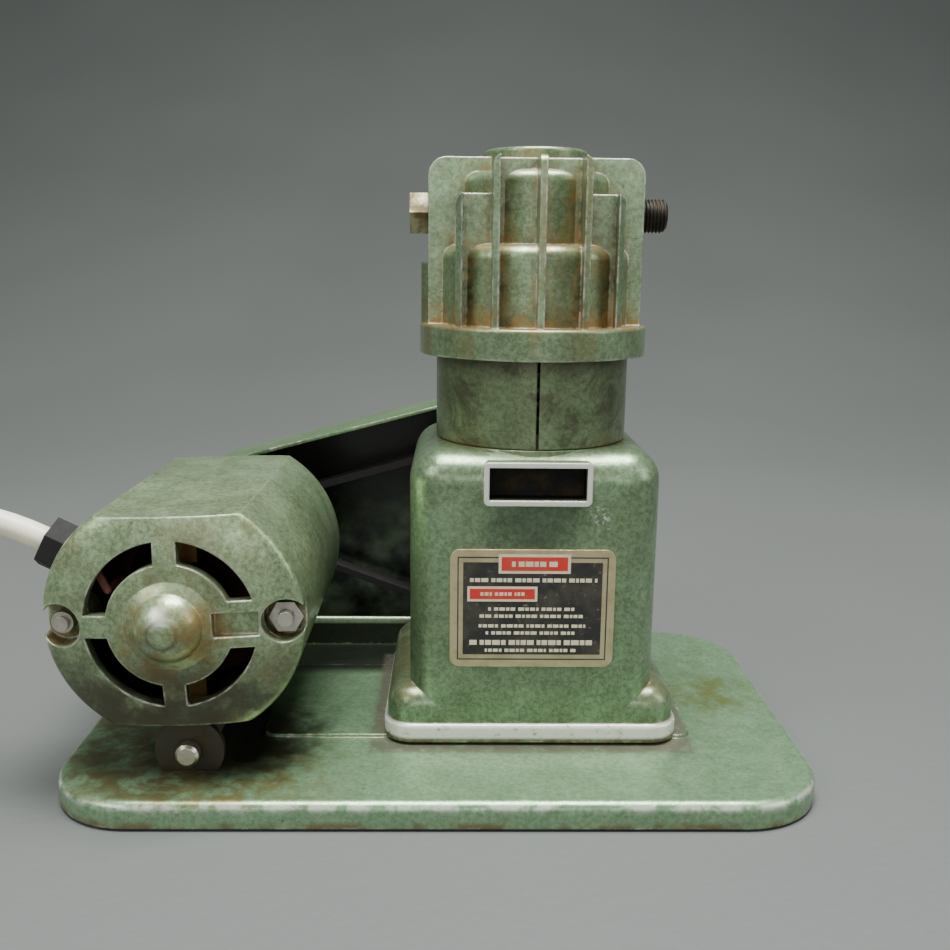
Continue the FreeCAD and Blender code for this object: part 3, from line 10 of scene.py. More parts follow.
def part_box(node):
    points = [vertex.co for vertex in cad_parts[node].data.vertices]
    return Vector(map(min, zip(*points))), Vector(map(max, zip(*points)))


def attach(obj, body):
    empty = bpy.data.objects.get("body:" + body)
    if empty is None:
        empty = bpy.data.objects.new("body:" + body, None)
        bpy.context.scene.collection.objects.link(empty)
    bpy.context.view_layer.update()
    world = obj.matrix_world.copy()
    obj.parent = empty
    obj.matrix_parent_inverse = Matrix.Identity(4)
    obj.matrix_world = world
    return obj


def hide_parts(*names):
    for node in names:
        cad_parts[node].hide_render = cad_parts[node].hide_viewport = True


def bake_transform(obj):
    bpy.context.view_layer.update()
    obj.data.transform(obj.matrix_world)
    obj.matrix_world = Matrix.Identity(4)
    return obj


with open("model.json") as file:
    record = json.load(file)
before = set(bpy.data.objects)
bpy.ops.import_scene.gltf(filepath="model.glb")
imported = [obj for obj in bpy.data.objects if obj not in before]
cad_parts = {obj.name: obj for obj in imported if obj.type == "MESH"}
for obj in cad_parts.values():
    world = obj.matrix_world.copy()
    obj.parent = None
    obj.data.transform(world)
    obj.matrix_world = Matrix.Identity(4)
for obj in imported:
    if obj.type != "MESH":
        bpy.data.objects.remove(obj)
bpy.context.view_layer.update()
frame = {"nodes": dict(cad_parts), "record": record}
NODES = frame["nodes"]
MM = 0.001


# --- Places read from the frame ---

def box_middle(node):
    """The middle of a CAD node's box."""
    low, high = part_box(node)
    return (low + high) / 2


def at(x, y, z):
    """A place given in millimetres."""
    return Vector((x, y, z)) * MM


CASE_LOW, CASE_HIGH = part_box("crankcase")
SCREEN_LOW, SCREEN_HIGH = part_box("intake_screen")
HEAD_LOW, HEAD_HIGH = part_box("cylinder_head")
BAND_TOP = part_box("sleeve_band")[1].z
GUARD_LOW, GUARD_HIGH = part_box("belt_guard")
PLATE_LOW, PLATE_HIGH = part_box("nameplate")
MOTOR = box_middle("motor_shaft")
SEAM_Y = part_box("motor_rear_shell")[0].y
HINGE = box_middle("hinge_pin")
NIPPLE_LOW, NIPPLE_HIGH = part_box("outlet_nipple")


# --- Camera: close in front, looking slightly down, as a hand-held camera stands ---

def add_camera():
    """A camera placed by its height and distance, with its pitch, yaw and roll in degrees."""
    place = at(4.0, -304.3, 144.4)
    pitch, yaw, roll = math.radians(11.77), math.radians(-1.10), math.radians(-0.63)
    level_right = Vector((math.cos(yaw), math.sin(yaw), 0))
    level_ahead = Vector((-math.sin(yaw), math.cos(yaw), 0))
    ahead = level_ahead * math.cos(pitch) - Vector((0, 0, math.sin(pitch)))
    down = -level_ahead * math.sin(pitch) - Vector((0, 0, math.cos(pitch)))
    right = level_right * math.cos(roll) + down * math.sin(roll)
    up = level_right * math.sin(roll) - down * math.cos(roll)
    data = bpy.data.cameras.new("camera")
    data.sensor_width = 36
    data.lens = 38.25
    data.clip_start = 0.01
    camera = bpy.data.objects.new("camera", data)
    bpy.context.scene.collection.objects.link(camera)
    turn = Matrix((right, up, -ahead)).transposed()
    camera.matrix_world = Matrix.Translation(place) @ turn.to_4x4()
    bpy.context.scene.camera = camera


add_camera()


# --- Mesh helpers ---

def add_mesh(name, points, faces, body, material, smooth=True):
    """A mesh that rides on a body and takes one material."""
    data = bpy.data.meshes.new(name)
    data.from_pydata([tuple(p) for p in points], [], faces)
    data.validate()
    item = bpy.data.objects.new(name, data)
    bpy.context.scene.collection.objects.link(item)
    shade(item, smooth)
    data.materials.append(material)
    if body:
        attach(item, body)
    return item


def shade(item, smooth=True, angle=35):
    """Smooth shading that keeps corners sharper than an angle, with normals facing out."""
    mesh = bmesh.new()
    mesh.from_mesh(item.data)
    bmesh.ops.recalc_face_normals(mesh, faces=mesh.faces)
    for edge in mesh.edges:
        sharp = len(edge.link_faces) != 2 or edge.calc_face_angle(0) > math.radians(angle)
        edge.smooth = not sharp
    for face in mesh.faces:
        face.smooth = smooth
    mesh.to_mesh(item.data)
    mesh.free()


def capped_faces(rings, sides):
    """Faces between rings of points, each with the same number of sides, and both end caps."""
    faces = []
    for i in range(rings - 1):
        for k in range(sides):
            nxt = (k + 1) % sides
            faces.append((i * sides + k, i * sides + nxt, (i + 1) * sides + nxt,
                          (i + 1) * sides + k))
    faces.append(tuple(range(sides)))
    faces.append(tuple(range((rings - 1) * sides, rings * sides)))
    return faces


def wrapped_faces(rings, sides):
    """Faces round a closed string of rings, the last joined to the first."""
    faces = []
    for i in range(rings):
        after = (i + 1) % rings
        for k in range(sides):
            nxt = (k + 1) % sides
            faces.append((i * sides + k, i * sides + nxt, after * sides + nxt, after * sides + k))
    return faces


def loft(name, sections, body, material):
    """A closed skin through sections, each a list of points of one length."""
    points = [point for section in sections for point in section]
    return add_mesh(name, points, capped_faces(len(sections), len(sections[0])), body, material)


def rounded_section(origin, across, up, half_wide, half_high, corner, steps=5):
    """A rectangle with round corners, as points round a centre."""
    corner = min(corner, half_wide, half_high)
    points = []
    for quarter in range(4):
        side_x = (1, -1, -1, 1)[quarter]
        side_y = (1, 1, -1, -1)[quarter]
        for k in range(steps + 1):
            angle = math.pi / 2 * (quarter + k / steps)
            x = side_x * (half_wide - corner) + corner * math.cos(angle)
            y = side_y * (half_high - corner) + corner * math.sin(angle)
            points.append(origin + across * x + up * y)
    return points


# --- Mains cord: the CAD tube's route points, and the coil's turns between them ---

CORD_D = 6.7 * MM
COIL_MIDDLE = at(-214, -12, 0)
LEAD = [at(-105.16, -41, 70.73), at(-115.93, -41, 76.03), at(-130.5, -41.6, 78.2),
        at(-147, -43.2, 74.5), at(-161.5, -46, 63), at(-172.5, -49.8, 46.5),
        at(-182, -53.2, 29), at(-191, -56, 15), at(-203, -57.5, 6), at(-217.5, -57.5, 3.35)]
PLUG_END = at(-250.5, 43, 6.8)
PLUG_HEADING = math.radians(75)
PLUG_WAY = Vector((math.cos(PLUG_HEADING), math.sin(PLUG_HEADING), 0))
TAIL = [at(-257.6, 12, 9), PLUG_END - PLUG_WAY * 15.5 * MM, PLUG_END]
TURNS = 6.2656
CLIMB_START, CLIMB_END = 2.8, 3.3
STEPS_PER_TURN = 16
LOWER_START_R, INNER_R, UPPER_END_R = 45.7 * MM, 26.4 * MM, 46.4 * MM
TURN_GAP, LAYER_GAP = 6.8 * MM, 6.9 * MM
COIL_START = math.radians(-94.4)


def coil_point(turn):
    """A point of the coil: in over the lower layer, up, and out again over the upper layer."""
    low = CORD_D / 2
    high = low + LAYER_GAP
    if turn < CLIMB_START:
        radius, height = LOWER_START_R - TURN_GAP * turn, low
    elif turn < CLIMB_END:
        share = (turn - CLIMB_START) / (CLIMB_END - CLIMB_START)
        tuck = 0.6 * MM * math.sin(math.pi * share)
        radius, height = INNER_R - tuck, low + (high - low) * share
    else:
        share = (turn - CLIMB_END) / (TURNS - CLIMB_END)
        radius, height = INNER_R + (UPPER_END_R - INNER_R) * share, high
    angle = COIL_START - 2 * math.pi * turn
    return COIL_MIDDLE + Vector((radius * math.cos(angle), radius * math.sin(angle), height))


def cord_points():
    """The whole route's control points."""
    count = int(TURNS * STEPS_PER_TURN)
    turns = [coil_point(TURNS * i / count) for i in range(1, count + 1)]
    return LEAD + turns + TAIL


def spline_curve(name, points, bevel=0.0):
    """A NURBS curve of order 3 that ends at its first and last points."""
    data = bpy.data.curves.new(name, "CURVE")
    data.dimensions = "3D"
    spline = data.splines.new("NURBS")
    spline.points.add(len(points) - 1)
    for place, point in zip(spline.points, points):
        place.co = (*point, 1)
    spline.order_u = 3
    spline.use_endpoint_u = True
    spline.resolution_u = 4
    data.bevel_depth = bevel
    data.bevel_resolution = 6
    data.use_fill_caps = True
    item = bpy.data.objects.new(name, data)
    bpy.context.scene.collection.objects.link(item)
    bpy.context.view_layer.update()
    return item


def as_mesh(curve):
    """The mesh that a curve makes, and the curve is removed."""
    graph = bpy.context.evaluated_depsgraph_get()
    mesh = bpy.data.meshes.new_from_object(curve.evaluated_get(graph))
    bpy.data.objects.remove(curve)
    return mesh


CORD_PATH = [v.co.copy() for v in as_mesh(spline_curve("cord_line", cord_points())).vertices]


# --- Materials ---

def srgb(red, green, blue):
    """A linear colour from 8-bit sRGB values."""
    def linear(value):
        value /= 255
        return value / 12.92 if value <= 0.04045 else ((value + 0.055) / 1.055) ** 2.4
    return (linear(red), linear(green), linear(blue), 1)


class Graph:
    """One material's nodes. Each call returns the output socket that it makes."""

    def __init__(self, name):
        self.material = bpy.data.materials.new(name)
        self.material.use_nodes = True
        self.tree = self.material.node_tree
        self.shader = self.tree.nodes["Principled BSDF"]
        self.place = self.make("ShaderNodeTexCoord", "Object")
        self.axes = self.tree.nodes.new("ShaderNodeSeparateXYZ")
        self.tree.links.new(self.place, self.axes.inputs[0])

    def make(self, kind, output, inputs=None, **settings):
        """A node with its inputs linked or set. Returns one of its outputs."""
        node = self.tree.nodes.new(kind)
        for name, value in settings.items():
            setattr(node, name, value)
        for name, value in (inputs or {}).items():
            self.put(node.inputs[name], value)
        return node.outputs[output]

    def put(self, socket, value):
        """Link or set one input."""
        if isinstance(value, bpy.types.NodeSocket):
            self.tree.links.new(value, socket)
        else:
            socket.default_value = value

    def axis(self, letter):
        return self.axes.outputs[letter]

    def math(self, operation, first, second=0.0, third=0.0, clamp=False):
        return self.make("ShaderNodeMath", 0, {0: first, 1: second, 2: third},
                         operation=operation, use_clamp=clamp)

    def times(self, *factors):
        product = factors[0]
        for factor in factors[1:]:
            product = self.math("MULTIPLY", product, factor)
        return product

    def most(self, first, second):
        return self.math("MAXIMUM", first, second)

    def mix(self, share, first, second):
        node = self.tree.nodes.new("ShaderNodeMix")
        node.data_type = "RGBA"
        self.put(node.inputs[0], share)
        self.put(node.inputs[6], first)
        self.put(node.inputs[7], second)
        return node.outputs[2]

    def noise(self, scale, detail=3.0, rough=0.55, bend=0.0, place=None):
        return self.make("ShaderNodeTexNoise", 0,
                         {"Vector": place or self.place, "Scale": scale, "Detail": detail,
                          "Roughness": rough, "Distortion": bend})

    def step(self, value, low, high):
        """0 below low and 1 above high, smoothly, or the other way round if low is above high."""
        return self.make("ShaderNodeMapRange", 0,
                         {"Value": value, "From Min": low, "From Max": high},
                         interpolation_type="SMOOTHSTEP")

    def inside(self, letter, low, high, soft):
        """1 between two places on an axis, in metres."""
        value = self.axis(letter)
        return self.times(self.step(value, low - soft, low + soft),
                          self.step(value, high + soft, high - soft))

    def near(self, point, radius, soft):
        """1 within a radius of a point, in metres, with a ragged edge."""
        gap = self.make("ShaderNodeVectorMath", 1, {0: self.place, 1: tuple(point)},
                        operation="DISTANCE")
        rag = self.math("MULTIPLY_ADD", self.noise(170, 4), soft * 2.4, -soft * 1.2)
        return self.step(self.math("ADD", gap, rag), radius + soft, radius - soft)

    def facing(self, letter, low, high):
        """1 where the surface faces along an axis."""
        normal = self.make("ShaderNodeNewGeometry", "Normal")
        split = self.make("ShaderNodeSeparateXYZ", letter, {0: normal})
        return self.step(split, low, high)

    def crevice(self, distance, low=0.35, high=0.85):
        """1 in inner corners."""
        open_sky = self.make("ShaderNodeAmbientOcclusion", "AO", {"Distance": distance},
                             samples=6)
        return self.step(open_sky, high, low)

    def edge(self, radius, low=0.02, high=0.16):
        """1 on outer edges, where the bevelled normal leaves the true one."""
        soft = self.make("ShaderNodeBevel", 0, {"Radius": radius}, samples=4)
        true = self.make("ShaderNodeNewGeometry", "Normal")
        dot = self.make("ShaderNodeVectorMath", "Value", {0: soft, 1: true},
                        operation="DOT_PRODUCT")
        return self.step(self.math("SUBTRACT", 1.0, dot), low, high)

    def finish(self, colour, rough, metal=0.0, bumps=(), edge_radius=0.0, coat=0.0):
        """Wire the shader. bumps are (height, strength, distance in metres)."""
        self.put(self.shader.inputs["Base Color"], colour)
        self.put(self.shader.inputs["Roughness"], rough)
        self.put(self.shader.inputs["Metallic"], metal)
        self.shader.inputs["Coat Weight"].default_value = coat
        self.shader.inputs["Coat Roughness"].default_value = 0.25
        normal = None
        if edge_radius:
            normal = self.make("ShaderNodeBevel", 0, {"Radius": edge_radius}, samples=4)
        for height, strength, distance in bumps:
            inputs = {"Height": height, "Strength": strength, "Distance": distance}
            if normal:
                inputs["Normal"] = normal
            normal = self.make("ShaderNodeBump", 0, inputs)
        if normal:
            self.put(self.shader.inputs["Normal"], normal)
        return self.material


RUST = srgb(160, 128, 74)
DARK_RUST = srgb(92, 76, 46)
DUST = srgb(158, 134, 84)
OIL = srgb(74, 66, 40)
LOW_DARK_BROWN = srgb(60, 54, 34)
# Near black for painted shade in corners, inside parts and under them.
SHADE_BLACK = srgb(15, 16, 13)
# Painted shadow with grease, on the deck behind the motor.
SHADOW_GRIME = srgb(12, 13, 9)
BARE = srgb(228, 228, 218)


def hammered(name, light, dark, grime, wear, oil, extra):
    """Hammered paint: metallic mottle, dirt in the corners, bare metal on the edges."""
    g = Graph(name)
    fine = g.noise(1900, 3, 0.7)
    mottle = g.noise(720, 3, 0.6, 0.3)
    patch = g.noise(42, 5, 0.6, 0.8)
    blend = g.math("ADD", g.times(mottle, 0.6), g.times(fine, 0.4))
    cloud = g.step(g.noise(110, 3, 0.55, 0.5), 0.30, 0.72)
    lightness = g.math("ADD", g.times(g.step(blend, 0.36, 0.64), 0.72), g.times(cloud, 0.28))
    colour = g.mix(lightness, dark, light)
    colour = g.mix(g.times(g.step(patch, 0.36, 0.66), oil), colour, OIL)
    speckle = g.step(g.noise(330, 4, 0.7), 0.40, 0.62)
    dirt_and_shade = g.times(g.crevice(7 * MM), grime, g.math("MULTIPLY_ADD", speckle, 0.7, 0.5))
    dirt_colour = g.mix(g.step(g.noise(120, 4), 0.42, 0.6), DARK_RUST, RUST)
    colour = g.mix(dirt_and_shade, colour, dirt_colour)
    specks = g.step(g.noise(520, 2, 0.5), 0.70, 0.76)
    colour = g.mix(g.times(specks, 0.5), colour, srgb(58, 62, 48))
    bare = g.times(g.edge(1.1 * MM), g.step(g.noise(240, 5, 0.7), 0.62 - 0.28 * wear, 0.72))
    rough = g.math("MULTIPLY_ADD", g.noise(300, 3), 0.22, 0.23)
    rough = g.math("ADD", rough, g.times(dirt_and_shade, 0.35), clamp=True)
    metal = g.math("MULTIPLY_ADD", blend, 0.25, 0.5)
    colour, bare = extra(g, colour, bare)
    colour = g.mix(bare, colour, BARE)
    metal = g.math("SUBTRACT", metal, g.times(bare, 0.35), clamp=True)
    bumps = [(mottle, 0.32, 0.22 * MM), (patch, 0.10, 0.5 * MM)]
    return g.finish(colour, rough, metal, bumps, edge_radius=0.7 * MM, coat=0.35)


# Each extra below adds one piece's own wear, and for some pieces painted shade and a painted
# highlight, to the paint's colour and its bare metal.

def case_extra(g, colour, bare):
    """The crankcase: a polished lip, a bare window rim, rust on the foot's shoulders, and painted
    shade below the window and on the walls inside it.
    """
    ground, front = CASE_LOW.z, CASE_LOW.y
    rim, sill, reveal = 2.2 * MM, 2.3 * MM, 0.2 * MM
    scratch = g.step(g.noise(420, 5, 0.7), 0.26, 0.44)
    lip = g.times(g.inside("Z", ground + 1.2 * MM, ground + 5.2 * MM, 0.6 * MM), scratch)
    window = g.times(g.inside("Z", SCREEN_LOW.z - sill, SCREEN_HIGH.z + rim, 0.3 * MM),
                     g.inside("X", SCREEN_LOW.x - rim, SCREEN_HIGH.x + rim, 0.3 * MM),
                     g.step(g.axis("Y"), front + 0.9 * MM, front + 0.5 * MM))
    bare = g.most(g.most(bare, g.times(lip, 0.95)), g.times(window, 0.85))
    shoulder = g.times(g.inside("Z", ground + 6.0 * MM, ground + 17.2 * MM, 2.5 * MM),
                       g.facing("Z", 0.1, 0.7), g.step(g.noise(150, 4), 0.36, 0.56))
    colour = g.mix(g.times(shoulder, 0.6), colour, srgb(112, 104, 66))
    # Painted shade under the window's rim.
    shade_below_window = g.near(at(26, -32, 74), 12 * MM, 7 * MM)
    colour = g.mix(g.times(shade_below_window, 0.55), colour, SHADE_BLACK)
    low = g.times(g.step(g.axis("Z"), ground + 8.5 * MM, ground + 4.5 * MM),
                  g.step(g.noise(260, 4), 0.45, 0.6), 0.6)
    colour = g.mix(low, colour, DARK_RUST)
    flake = g.step(g.noise(950, 2, 0.4), 0.56, 0.60)
    scuff = g.times(g.near(at(44.5, -33, 75.5), 2 * MM, 3 * MM), flake)
    colour = g.mix(scuff, colour, srgb(214, 216, 208))
    # Painted shade on the walls inside the window, with no bare metal there.
    opening = g.times(g.step(g.axis("Y"), front + 2.1 * MM, front + 4.0 * MM),
                      g.step(g.axis("Y"), front + 14.0 * MM, front + 10.5 * MM),
                      g.inside("X", SCREEN_LOW.x - reveal, SCREEN_HIGH.x + reveal, 0.2 * MM),
                      g.inside("Z", SCREEN_LOW.z - reveal, SCREEN_HIGH.z + reveal, 0.2 * MM))
    colour = g.mix(opening, colour, srgb(12, 12, 11))
    return colour, g.math("SUBTRACT", bare, opening, clamp=True)


def head_extra(g, colour, bare):
    """The head: brown dust on each ledge, in the fins' roots and in streaks down its sides."""
    height = g.axis("Z")
    ledge = g.times(g.facing("Z", 0.45, 0.95),
                    g.step(height, HEAD_HIGH.z - 8.5 * MM, HEAD_HIGH.z - 16.5 * MM),
                    g.step(g.noise(210, 5, 0.7), 0.30, 0.52))
    colour = g.mix(g.times(ledge, 0.6), colour, DUST)
    root = g.times(g.step(height, HEAD_LOW.z + 17.5 * MM, HEAD_LOW.z + 8.0 * MM),
                   g.step(height, HEAD_LOW.z + 7.2 * MM, HEAD_LOW.z + 8.6 * MM),
                   g.step(g.noise(260, 5), 0.40, 0.60), 0.7)
    colour = g.mix(root, colour, srgb(154, 122, 66))
    upright = g.make("ShaderNodeMapping", 0, {"Vector": g.place, "Scale": (1.0, 1.0, 0.18)})
    streak = g.step(g.noise(90, 5, 0.6, 0.5, upright), 0.48, 0.66)
    colour = g.mix(g.times(streak, 0.45), colour, srgb(128, 110, 60))
    return colour, bare


def band_extra(g, colour, bare):
    """The band under the head: dull, with dark oily blots, and painted shade just below the head.
    """
    blot = g.step(g.noise(75, 5, 0.7, 0.6), 0.52, 0.64)
    colour = g.mix(g.times(blot, 0.55), colour, srgb(66, 58, 40))
    # Painted shade just below the head's overhang.
    shade_under_head = g.step(g.axis("Z"), BAND_TOP - 6.9 * MM, BAND_TOP + 0.1 * MM)
    colour = g.mix(g.times(shade_under_head, 0.5), colour, srgb(40, 42, 34))
    return colour, g.times(bare, 0.4)


def base_extra(g, colour, bare):
    """The base plate: oil round the motor's foot, greasy dirt and painted shadow beside and behind
    the motor, rust at the right corner.
    """
    height = g.axis("Z")
    up = g.facing("Z", 0.2, 0.7)
    ragged = g.step(g.noise(130, 5, 0.65), 0.36, 0.60)
    hinge_oil = g.near((HINGE.x + 4 * MM, -50 * MM, 8 * MM), 30 * MM, 16 * MM)
    colour = g.mix(g.times(hinge_oil, ragged, up, 0.75), colour, srgb(112, 98, 46))
    left_oil = g.near(at(-86, -30, 8), 34 * MM, 14 * MM)
    colour = g.mix(g.times(left_oil, ragged, up, 0.8), colour, srgb(98, 92, 58))
    # Greasy dirt together with the motor's painted shadow.
    grease_and_shadow = g.near(at(-60, -28, 8), 24 * MM, 10 * MM)
    colour = g.mix(g.times(grease_and_shadow, up, 0.9), colour, srgb(30, 28, 18))
    # Painted shadow with grease behind the motor and the pump.
    behind = g.times(g.inside("X", -58 * MM, -4 * MM, 6 * MM),
                     g.inside("Y", 18 * MM, 47.5 * MM, 4 * MM))
    colour = g.mix(g.times(behind, up, 0.95), colour, SHADOW_GRIME)
    round_case = g.times(
        g.inside("X", CASE_LOW.x - 3.9 * MM, CASE_HIGH.x + 4.1 * MM, 1.2 * MM),
        g.inside("Y", CASE_LOW.y - 4.5 * MM, CASE_HIGH.y + 4.0 * MM, 1.2 * MM),
        g.step(height, 7.0 * MM, 7.6 * MM), g.step(g.noise(330, 5, 0.7), 0.30, 0.5))
    colour = g.mix(g.times(round_case, up, 0.75), colour, srgb(112, 104, 92))
    corner = g.near(at(86, 4, 8), 13 * MM, 8 * MM)
    colour = g.mix(g.times(corner, ragged, up, 0.7), colour, srgb(112, 112, 44))
    rim = g.times(g.step(height, 4.2 * MM, 7.6 * MM), g.step(height, 8.2 * MM, 7.8 * MM),
                  g.step(g.noise(180, 4), 0.42, 0.60), g.facing("Z", 0.92, 0.55))
    foot = g.times(g.step(height, 3.4 * MM, 1.4 * MM), g.step(g.noise(110, 4), 0.4, 0.55))
    colour = g.mix(g.times(foot, 0.8), colour, srgb(108, 92, 60))
    return colour, g.most(bare, g.times(rim, 0.55))


def guard_extra(g, colour, bare):
    """The guard: painted shade inside and underneath, lightened low down inside by a painted glow
    of bounce light, painted shadow with grime below its front lip, green outside, with a worn
    front lip.
    """
    height, depth, front, back = g.axis("Z"), g.axis("Y"), GUARD_LOW.y, GUARD_HIGH.y
    not_up = g.math("SUBTRACT", 1.0, g.facing("Z", 0.2, 0.6), clamp=True)
    inside = g.times(g.inside("Y", front + 0.2 * MM, back - 1.3 * MM, 0.2 * MM), not_up)
    back_wall = g.times(g.facing("Y", -0.4, -0.8), g.step(depth, back - 6.5 * MM, back - 2.5 * MM))
    # Painted shade inside the guard and on its back wall.
    dark = g.most(inside, back_wall)
    # A painted glow of bounce light, lighter low down inside the guard.
    glow = g.times(g.step(height, 70 * MM, 35 * MM), g.step(g.noise(70, 5), 0.3, 0.7))
    colour = g.mix(dark, colour, g.mix(glow, SHADE_BLACK, srgb(104, 118, 98)))
    # Painted shade on the faces turned down.
    under = g.facing("Z", -0.2, -0.6)
    colour = g.mix(under, colour, SHADE_BLACK)
    # Painted shadow with grime on the strip below the front lip.
    face = g.times(g.step(height, 16.2 * MM, 15.5 * MM),
                   g.step(depth, front + 1.2 * MM, front + 0.6 * MM))
    colour = g.mix(g.times(face, 0.9), colour, srgb(24, 27, 20))
    lip = g.times(g.inside("Z", 16.2 * MM, 18.6 * MM, 0.3 * MM),
                  g.step(depth, front + 2.5 * MM, front + 1.8 * MM))
    bare = g.most(bare, g.times(lip, 0.2))
    return colour, g.math("SUBTRACT", bare, g.most(dark, under), clamp=True)


def motor_extra(g, colour, bare):
    """The motor's casing: a dark seam, and darker brown low down."""
    seam = g.inside("Y", SEAM_Y - 0.3 * MM, SEAM_Y + 0.3 * MM, 0.2 * MM)
    colour = g.mix(g.times(seam, 0.8), colour, srgb(60, 66, 50))
    # Darker brown towards the bottom.
    low = g.times(g.step(g.axis("Z"), 50 * MM, 26 * MM), g.step(g.noise(120, 5), 0.35, 0.6))
    colour = g.mix(g.times(low, 0.7), colour, LOW_DARK_BROWN)
    return colour, bare


def face_extra(g, colour, bare):
    """The motor's front: a painted highlight on the nose, brown oil round the hub, and painted
    shade with grime low down.
    """
    # A painted highlight, as bare metal, at the top of the nose.
    nose = (MOTOR.x - 1 * MM, -65 * MM, MOTOR.z + 4.5 * MM)
    bare = g.most(bare, g.times(g.near(nose, 2 * MM, 2 * MM), 0.6))
    shaft_end = (MOTOR.x, -65.5 * MM, MOTOR.z)
    ring = g.math("SUBTRACT", g.near(shaft_end, 4.2 * MM, 0.5 * MM),
                  g.near(shaft_end, 3.3 * MM, 0.5 * MM), clamp=True)
    colour = g.mix(g.times(ring, 0.6), colour, srgb(58, 54, 40))
    side = g.near((MOTOR.x + 8 * MM, -60 * MM, MOTOR.z - 1 * MM), 6.5 * MM, 4 * MM)
    colour = g.mix(g.times(side, 0.6), colour, srgb(134, 104, 52))
    blot = g.times(g.step(g.noise(58, 5, 0.7, 0.5), 0.48, 0.66), g.facing("Y", -0.3, -0.8))
    colour = g.mix(g.times(blot, 0.5), colour, srgb(118, 106, 72))
    hub = g.times(g.near((MOTOR.x, -59 * MM, MOTOR.z - 6 * MM), 12.5 * MM, 6 * MM),
                  g.step(g.noise(150, 4), 0.40, 0.6))
    colour = g.mix(g.times(hub, 0.75), colour, srgb(136, 110, 58))
    # Painted shade with grime, darker towards the bottom.
    low = g.times(g.step(g.axis("Z"), 54 * MM, 30 * MM), g.step(g.noise(95, 5), 0.26, 0.5))
    colour = g.mix(g.times(low, 0.85), colour, srgb(56, 56, 40))
    return motor_extra(g, colour, bare)


def metal(name, colour, rough, stain_and_shade=0.3, metallic=0.95):
    """Turned or cast metal, with painted shade in its corners, dull rusty stains and fine tool
    marks.
    """
    g = Graph(name)
    marks = g.noise(700, 3, 0.7)
    dull = g.step(g.noise(180, 5, 0.6), 0.38, 0.66)
    tint = g.mix(g.times(dull, stain_and_shade), colour, DARK_RUST)
    # Painted shade in the corners.
    tint = g.mix(g.times(g.crevice(3 * MM), stain_and_shade), tint, SHADE_BLACK)
    gloss = g.math("MULTIPLY_ADD", marks, 0.2, rough - 0.1)
    gloss = g.math("ADD", gloss, g.times(dull, stain_and_shade * 0.5), clamp=True)
    return g.finish(tint, gloss, metallic, [(marks, 0.12, 0.2 * MM)], edge_radius=0.3 * MM)


def moulded(name, colour, rough, grain=600, dirt_and_shade=0.3):
    """Rubber, plastic, carbon, gasket or felt: a fine grain, and painted shade in its corners."""
    g = Graph(name)
    fine = g.noise(grain, 4, 0.65)
    cloud = g.step(g.noise(60, 4), 0.35, 0.7)
    darker = tuple(channel * 0.72 for channel in colour[:3]) + (1,)
    tint = g.mix(g.times(cloud, 0.5), colour, darker)
    # Painted shade in the corners.
    tint = g.mix(g.times(g.crevice(4 * MM), dirt_and_shade), tint, SHADE_BLACK)
    gloss = g.math("MULTIPLY_ADD", fine, 0.15, rough - 0.07)
    return g.finish(tint, gloss, 0.0, [(fine, 0.2, 0.2 * MM)], edge_radius=0.4 * MM)


def wound(name, colour):
    """Varnished copper wire: fine grooves round the motor's axis."""
    g = Graph(name)
    wires = g.make("ShaderNodeTexWave", 1, {"Vector": g.place, "Scale": 320, "Distortion": 1.5},
                   bands_direction="Y")
    tint = g.mix(wires, tuple(c * 0.35 for c in colour[:3]) + (1,), colour)
    return g.finish(tint, 0.4, 0.6, [(wires, 0.5, 0.3 * MM)])


def stacked(name, colour):
    """Thin steel sheets stacked along the motor's axis."""
    g = Graph(name)
    sheets = g.make("ShaderNodeTexWave", 1, {"Vector": g.place, "Scale": 500},
                    bands_direction="Y")
    tint = g.mix(sheets, tuple(c * 0.5 for c in colour[:3]) + (1,), colour)
    return g.finish(tint, 0.5, 0.8, [(sheets, 0.4, 0.2 * MM)])


